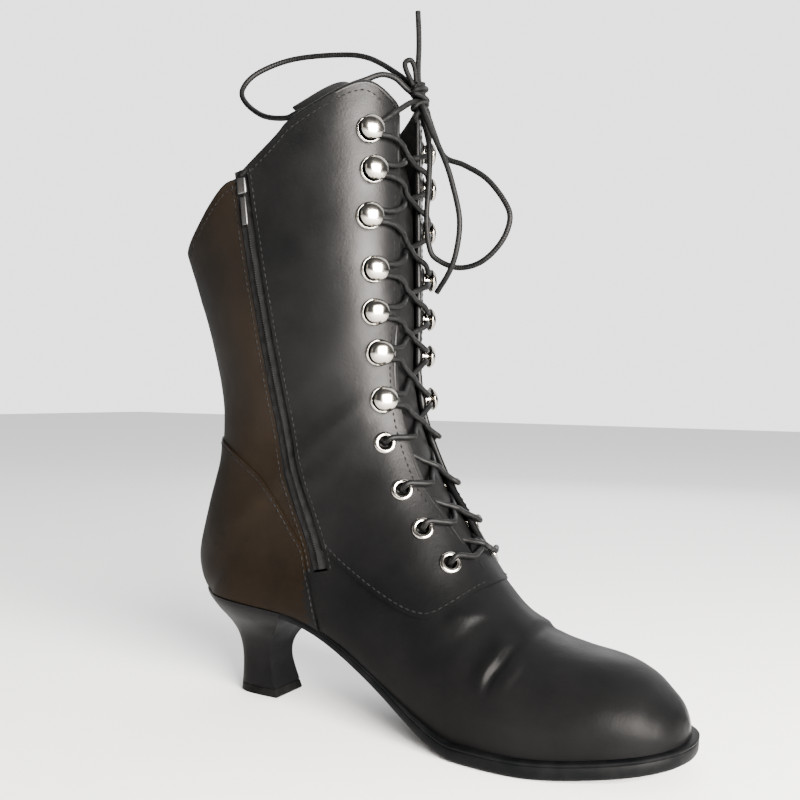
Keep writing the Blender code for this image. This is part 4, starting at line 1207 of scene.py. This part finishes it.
def build_laces(spots, look):
    """Both halves of the lacing, the knot and the free bow."""
    both = []
    for word, high in (("inner", True), ("outer", False)):
        path = lace_run(spots, word, high)
        both.append(evenly(curve_through(path, 10), step=0.0011))
    crossings = [f"lace_cross_{k:02d}" for k in range(1, 11)]
    first = lace_curve("lacing_a", both[0], resolution=4)
    second = lace_curve("lacing_b", both[1], resolution=4)
    settle(first, "lace", look, *crossings)
    settle(second, "lace", look, *crossings)

    centre = Vector(KNOT_CENTRE)
    wraps = []
    for tilt, height, wide, deep, turns, phase in (
        (0.35, -0.0030, 0.0030, 0.0034, 1.25, 0.0), (-0.45, 0.0010, 0.0032, 0.0036, 1.2, 2.0),
        (0.10, 0.0046, 0.0026, 0.0030, 1.1, 4.0), (1.05, -0.0066, 0.0020, 0.0030, 1.0, 1.0),
    ):
        line = []
        for k in range(40):
            t = phase + 2 * math.pi * turns * k / 39
            x, y = wide * math.cos(t), deep * math.sin(t)
            line.append(centre + Vector((x, y, height + tilt * x + 0.0012 * (k / 39 - 0.5) + tilt * 0.5 * y)))
        wraps.append(lace_curve("wrap", line, diameter=LACE_DIAMETER * 1.05, resolution=4))
    ear = [(-0.0070, -0.0016, 0.2905), (-0.0095, -0.0028, 0.2960), (-0.0118, -0.0030, 0.3010),
           (-0.0122, -0.0024, 0.3040), (-0.0098, -0.0014, 0.3048), (-0.0080, -0.0008, 0.3010),
           (-0.0072, -0.0010, 0.2960), (-0.0060, -0.0010, 0.2915)]
    ear_line = evenly(curve_through(ear), count=40)
    wraps.append(lace_curve("wrap", ear_line, diameter=LACE_DIAMETER * 0.95, resolution=4))
    core_spots = ((0, 0, -0.0085), (0.0003, 0, 0.0), (0, 0, 0.0075))
    core = evenly([centre + Vector(spot) for spot in core_spots], count=8)
    wraps.append(lace_curve("wrap", core, diameter=0.0050, resolution=4))
    for wrap in wraps:
        only(wrap)
        bpy.ops.object.convert(target="MESH")
    knot = join_all("bow_knot", wraps)
    settle(knot, "lace", look, "lace_knot")

    for name, points, node, end in (
        ("bow_loop_rear", LOOP_REAR, "lace_loop_rear", "knot"),
        ("bow_loop_front", LOOP_FRONT, "lace_loop_front", "knot"),
        ("bow_end_up", END_UP, "lace_end_up", "bare"), ("bow_end_down", END_DOWN, "lace_end_down", "bare"),
    ):
        path = evenly(curve_through(points), step=0.0012)
        piece = settle(lace_curve(name, path), "lace", look, node)


def tongue_point(u, y, inset):
    """A point of the tongue: under the upper's front, leaning back above the ankle."""
    cut = section(u, inset)
    side = 1 if y >= 0 else -1
    share = min(abs(y - cut["mid"]) / cut[side][0], 0.97)
    along = cut["wide"] + (1 - cut["wide"]) * (1 - share ** cut["full"]) ** (1 / cut["full"])
    spot = cut["low"] + cut["way"] * cut["length"] * along
    x, z = spot
    if z > TONGUE_LEAN_START:
        rise = (z - TONGUE_LEAN_START) / (TONGUE_TOP - TONGUE_LEAN_START)
        x -= TONGUE_LEAN * rise * rise
        kept = 1 - TONGUE_CORNER_DROP * (y / TONGUE_HALF_WIDTH) ** 2
        z = TONGUE_LEAN_START + (z - TONGUE_LEAN_START) * kept
    return Vector((x, y, z))


def build_tongue():
    """Padded bent sheet with turned edges and soft cross folds behind the laces."""
    lines = []
    for u in rows(TONGUE_FIRST_ROW, TONGUE_LAST_ROW, 120):
        room = min(section(u, WALL)[-1][0], section(u, WALL)[1][0])
        half = min(TONGUE_HALF_WIDTH, room * 0.80)
        line = []
        for k in range(41):
            y = half * (-1 + 2 * k / 40)
            soft = 0.00025 * noise.noise(Vector((0.0, y * 60, u * 1.7)))
            edge = 0.0004 * max(abs(y) / half - 0.86, 0) / 0.14
            line.append(tongue_point(u, y, WALL + TONGUE_GAP + 0.0001 + soft + edge))
        lines.append(line)
    sheet = grid_piece("tongue_leather", lines)
    apply_modifier(sheet, "SOLIDIFY", thickness=TONGUE_THICKNESS, offset=-1.0)
    apply_modifier(sheet, "BEVEL", width=0.0006, segments=2, limit_method="ANGLE",
                   angle_limit=math.radians(50))
    return sheet


# Sole, heel and insole

def meet_share(cut):
    """Share of a section's length at which it crosses the sole's line."""
    low, high = 0.0, 0.5
    for _ in range(24):
        middle = (low + high) / 2
        spot = cut["low"] + cut["way"] * cut["length"] * middle
        if spot.y < sole_line(spot.x) + CLEARANCE:
            low = middle
        else:
            high = middle
    return (low + high) / 2


def feather(first, last, count):
    """Where the upper meets the sole, on each side, as points x, y."""
    sides = {1: [], -1: []}
    for u in rows(first, last, count):
        cut = section(u)
        along = meet_share(cut)
        spot = cut["low"] + cut["way"] * cut["length"] * along
        for side in (1, -1):
            sides[side].append((spot.x, cut["mid"] + side * half_width(cut, side, along)))
    return sides


def sole_margin(x):
    forward = smooth((x / LENGTH - WAIST_MARGIN_END) / (FORE_MARGIN_START - WAIST_MARGIN_END))
    return SOLE_MARGIN_WAIST + (SOLE_MARGIN_FORE - SOLE_MARGIN_WAIST) * forward


def slab(name, loops):
    """A closed body from outlines one over the other, its faces paired across the middle."""
    piece = grid_piece(name, loops, closed=True)
    count = len(loops[0])
    only(piece)
    open_mesh("DESELECT")
    bpy.ops.mesh.select_non_manifold()
    bpy.ops.mesh.edge_face_add()
    close_mesh()
    work = bmesh.new()
    work.from_mesh(piece.data)
    for face in [f for f in work.faces if len(f.verts) > 4]:
        work.faces.remove(face)
    work.verts.ensure_lookup_table()
    spots = {tuple(round(c, 7) for c in v.co): v for v in work.verts}
    for loop in (loops[0], loops[-1]):
        line = [spots[tuple(round(c, 7) for c in p)] if tuple(round(c, 7) for c in p) in spots
                else min(work.verts, key=lambda v: (v.co - p).length) for p in loop]
        for j in range(count // 2 - 1):
            quad = [line[j], line[j + 1], line[count - 2 - j], line[count - 1 - j]]
            if len(set(quad)) == 4:
                work.faces.new(quad)
    bmesh.ops.recalc_face_normals(work, faces=work.faces)
    if work.calc_volume(signed=True) < 0:
        bmesh.ops.reverse_faces(work, faces=work.faces)
    work.to_mesh(piece.data)
    work.free()
    return piece


def build_outsole():
    """Forepart and waist: rounded welt, shallow groove, rounded lower edge; its end enters the heel."""
    sides = feather(0.0, BREAST_ROW + SOLE_OVERRUN, 110)
    edge = evenly(sides[1][::-1] + sides[-1], count=260)
    edge = [tuple(p) for p in edge]
    wide = offset_line(edge, [sole_margin(x) for x, _ in edge])
    shape = (
        (0.000, 0.0007), (0.020, 0.00025), (0.060, 0.0), (0.135, 0.0), (0.165, 0.00015), (0.180, 0.00045),
        (0.200, 0.00050), (0.220, 0.00030), (0.250, 0.00020), (0.480, 0.00015), (0.760, 0.0003),
        (0.900, 0.0008), (0.970, 0.0014), (1.000, 0.0024),
    )
    loops = []
    for share, inset in shape:
        line = offset_line(wide, [-inset] * len(wide))
        loops.append([Vector((x, y, sole_line(wide[i][0]) - share * sole_thickness(wide[i][0])))
                      for i, (x, y) in enumerate(line)])
    return slab("sole_forepart", loops)


def build_insole():
    """Soft sock with a rounded edge."""
    sides = feather(0.0, SEAT_END_ROW, 110)
    edge = [tuple(p) for p in evenly(sides[1][::-1] + sides[-1], count=200)]
    loops = []
    shape = ((0.0, 0.0010), (0.0005, 0.0003), (0.0014, 0.0), (0.0021, 0.0004), (INSOLE_THICKNESS, 0.0012))
    for rise, inset in shape:
        line = offset_line(edge, [-WALL - 0.0024 - inset] * len(edge))
        loops.append([Vector((x, y, sole_line(x) + 2 * CLEARANCE + rise)) for x, y in line])
    return slab("sock", loops)


def heel_column(back, front, half, count):
    """A D-shaped outline: straight breast, rounded back."""
    points = []
    steps = 60
    for j in range(steps + 1):
        share = math.sin(math.pi / 2 * j / steps)
        width = half * (1 - share ** HEEL_SQUARE) ** (1 / HEEL_SQUARE)
        points.append((front + (back - front) * share, width))
    points = points + [(x, -y) for x, y in points[-2::-1]]
    return evenly(points, count=count)


def build_heel():
    """Spool heel covered in leather, with a thin lift under its foot."""
    count = 96
    seat = feather(BREAST_ROW, SEAT_END_ROW, 60)
    line = seat[1] + seat[-1][::-1]
    line = offset_line(line, [-OVERLAY - CLEARANCE] * len(line))
    front = line[0][0] - 2 * CLEARANCE
    seat_loop = evenly([(min(x, front), y) for x, y in line], count=count)
    levels = curve_through(HEEL_ROWS, 7)
    loops = []
    for height, back, breast, half, blend in levels:
        column = heel_column(back * LENGTH, breast * LENGTH, half * HEEL_BASE_WIDTH / 2, count)
        blend = min(max(blend, 0.0), 1.0)
        loop = []
        for sx, cx in zip(seat_loop, column):
            spot = sx * blend + cx * (1 - blend)
            loop.append(Vector((spot.x, spot.y, max(height, 0.0) * (sole_line(spot.x) - CLEARANCE))))
        loops.append(loop)
    cover = [loop for loop in loops if loop[0].z > HEEL_LIFT]
    last = cover[-1]
    foot = loops[-1]
    middle = sum(foot, Vector()) / len(foot)
    seam = [a.lerp(b, (a.z - HEEL_LIFT) / max(a.z - b.z, 1e-6)) for a, b in zip(last, foot)]
    cover.append(seam)
    pinched = [p + (Vector((middle.x, middle.y, p.z)) - p) * 0.035 for p in seam]
    cover.append([p - Vector((0, 0, 0.0002)) for p in pinched])
    lift = [
        [p - Vector((0, 0, 0.0002)) for p in pinched],
        [p - Vector((0, 0, 0.0004)) for p in seam],
        [p.lerp(q, 0.85) for p, q in zip(seam, foot)],
        [q + (Vector((middle.x, middle.y, q.z)) - q) * 0.03 for q in foot],
    ]
    return slab("heel_cover", cover), slab("heel_lift", lift)


# Zip, edges and seams

def build_zip():
    """The tape, raised a little along its middle, and the row of closed teeth."""
    lines = []
    half = ZIP_WIDTH / 2 - CLEARANCE
    for share in rows(ZIP_TOP_SHARE, 0.995, 130):
        centre, across = zip_station(share)
        line = []
        for k in range(13):
            step = -1 + k / 6
            x, z = centre + across * half * step
            hump = 0.0009 * math.exp(-(step / 0.26) ** 2)
            line.append(Vector((x, side_y(x, z, -1, ZIP_RECESS) + 0.0004 - hump, z)))
        lines.append(line)
    tape = grid_piece("zip_tape", lines)
    apply_modifier(tape, "SOLIDIFY", thickness=0.0009, offset=0.0)
    spots = []
    for share in rows(ZIP_TOP_SHARE + 0.01, 0.985, 200):
        centre, across = zip_station(share)
        y = side_y(centre.x, centre.y, -1, ZIP_RECESS)
        spots.append((Vector((centre.x, y - 0.0006, centre.y)), Vector((0, -1, 0))))
    teeth = stitch_row("zip_teeth", spots, step=0.0011, length=0.0007, width=0.00045)
    return tape, teeth


def zip_slider():
    """Slider at the top of the zip, with its pull lying flat down the teeth."""
    parts = []
    for share, length, wide, thick, lift in SLIDER_BLOCKS:
        centre, across = zip_station(share)
        along = Vector((across.y, -across.x))
        bpy.ops.object.select_all(action="DESELECT")
        bpy.ops.mesh.primitive_cube_add(size=1)
        block = bpy.context.object
        block.scale = (wide, thick, length)
        bpy.ops.object.transform_apply(scale=True)
        apply_modifier(block, "BEVEL", width=min(thick, wide) * 0.32, segments=3)
        y = side_y(centre.x, centre.y, -1, ZIP_RECESS) - lift
        frame = Matrix(((across.x, 0, along.x), (0, 1, 0), (across.y, 0, along.y))).to_4x4()
        block.data.transform(Matrix.Translation((centre.x, y, centre.y)) @ frame)
        only(block)
        bpy.ops.object.mode_set(mode="EDIT")
        bpy.ops.mesh.select_all(action="SELECT")
        bpy.ops.mesh.normals_make_consistent(inside=False)
        close_mesh()
        parts.append(block)
    return join_all("zip_slider", parts)


def rim_lines(side):
    """The upper's edge on one side: from the middle of the back to the zip, and on down the throat."""
    back, front = [], []
    notch = zip_station(ZIP_TOP_SHARE)[0].x
    for x, z in reversed(region_line(COLLAR)):
        if x < -0.1265:
            continue
        y = side_y(x, z, side, 0.00105 if x < notch else 0.0006)
        if x > -0.06 and abs(y) < throat_half(z) + 0.0008:
            break
        (back if x < notch else front).append(Vector((x, y, z)))
    top = front[-1].z
    for z in rows(top - 0.0015, 0.0840, 90):
        y = side * (throat_half(z) + 0.0005)
        front.append(Vector((front_x(y, z, 0.0006), y, z)))
    return back, front


def edge_roll(name, points, radius):
    """A turned leather edge along a line."""
    piece = lace_curve(name, evenly(points, step=0.0016), diameter=radius * 2, resolution=3)
    only(piece)
    bpy.ops.object.convert(target="MESH")
    return piece


def sew(surface, thread, front_leather):
    """Rolled edges and stitch lines."""
    rolls = []
    for side, word in SIDES:
        back, front = rim_lines(side)
        rolls.append(edge_roll(f"rim_back_{word}", back, BACK_ROLL_RADIUS))
        rolls.append(edge_roll(f"rim_front_{word}", front, FRONT_ROLL_RADIUS))
        seams = {
            "throat": [front_spot(surface, side * (throat_half(z) + THROAT_STITCH_MARGIN), z)
                       for z in rows(0.283, 0.088, 160)],
            "quarter": [side_spot(surface, x, z + SEAM_STITCH_MARGIN, side) for x, z in region_line(QUARTER_SEAM)
                        if x < 0.036],
            "top": [side_spot(surface, x, z - COLLAR_STITCH_MARGIN, side) for x, z in region_line(COLLAR)
                    if -0.122 < x < -0.013],
            "counter": [side_spot(surface, x, z - SEAM_STITCH_MARGIN, side) for x, z in region_line(COUNTER_SEAM)
                        if x > -0.118 and z > sole_line(x) + 0.004],
        }
        rear, front = zip_edges(ZIP_WIDTH / 2 + ZIP_STITCH_MARGIN, 0.06, 1.0, 120)
        if side == -1:
            seams["zip_front"] = [side_spot(surface, x, z, side) for x, z in front]
        seams["zip_rear"] = [side_spot(surface, x, z, side) for x, z in rear]
        for label, spots in seams.items():
            spots = [s for s in spots if s is not None]
            row = stitch_row(f"stitch_{label}_{word}", spots)
            settle(row, "leather", thread, smooth_angle=60)
    tab = []
    for k in range(41):
        turn = math.pi * k / 40
        y = -(TAB_HALF_WIDTH - 0.0004) * math.cos(turn)
        z = THROAT_FOOT + (TAB_TOP - 0.0004 - THROAT_FOOT) * math.sin(turn) ** 0.6
        tab.append(Vector((front_x(y, z, 0.0004), y, z)))
    rolls.append(edge_roll("rim_tab", tab, TAB_ROLL_RADIUS))
    for roll in rolls:
        settle(roll, "leather", front_leather)


def main():
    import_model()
    add_camera()
    add_studio()

    front_leather = leather("quarter_leather", (0.0012, 0.0013, 0.0014), (0.0032, 0.0032, 0.0033), 0.33, 0.45)
    back_leather = leather("back_leather", (0.0024, 0.0016, 0.0009), (0.0056, 0.0035, 0.0018), 0.46, 0.58)
    lining = woven("lining_cloth", (0.025, 0.024, 0.022), (0.05, 0.047, 0.043), 900)
    tongue_leather = leather("tongue_leather", (0.0016, 0.0016, 0.0016), (0.0035, 0.0035, 0.0035), 0.40, 0.52)
    heel_leather = leather("heel_leather", (0.0018, 0.0018, 0.0020), (0.0045, 0.0045, 0.0047), 0.36, 0.48)
    sole_rubber = rubber("sole_rubber", (0.0012, 0.0014, 0.0016), (0.0036, 0.0037, 0.0038), 0.50)
    lift_rubber = rubber("lift_rubber", (0.0016, 0.0016, 0.0016), (0.005, 0.005, 0.005), 0.55)
    nickel = metal("bright_nickel", (0.36, 0.34, 0.305), 0.09, 0.20)
    dark_metal = metal("dark_metal", (0.10, 0.10, 0.10), 0.3, 0.45)
    tape_cloth = woven("zip_cloth", (0.003, 0.003, 0.0032), (0.008, 0.008, 0.008), 1400)
    thread = woven("thread", (0.004, 0.004, 0.004), (0.012, 0.012, 0.012), 2500, rough=0.5)
    cord = braided("waxed_cord", (0.0012, 0.0013, 0.0014), (0.0038, 0.0038, 0.0038))

    upper = build_upper(front_leather, back_leather, lining)
    leathers = tree_of(upper)
    upper.name = "leather_upper"
    settle(upper, "leather", None, "upper", smooth_angle=35)

    tongue = build_tongue()
    settle(tongue, "tongue_leather", tongue_leather, "tongue", smooth_angle=40)
    settle(build_outsole(), "sole", sole_rubber, "outsole", smooth_angle=40)
    settle(build_insole(), "lining", lining, "insole", smooth_angle=40)
    cover, lift = build_heel()
    settle(cover, "heel", heel_leather, "heel", smooth_angle=40)
    settle(lift, "heel", lift_rubber, smooth_angle=40)
    tape, teeth = build_zip()
    settle(tape, "zip_tape", tape_cloth, "zip", smooth_angle=40)
    settle(teeth, "zip_tape", dark_metal, smooth_angle=40)
    settle(zip_slider(), "zip_tape", dark_metal, smooth_angle=40)

    spots = place_trim(leathers, nickel)
    build_laces(spots, cord)
    sew(leathers, thread, front_leather)


main()
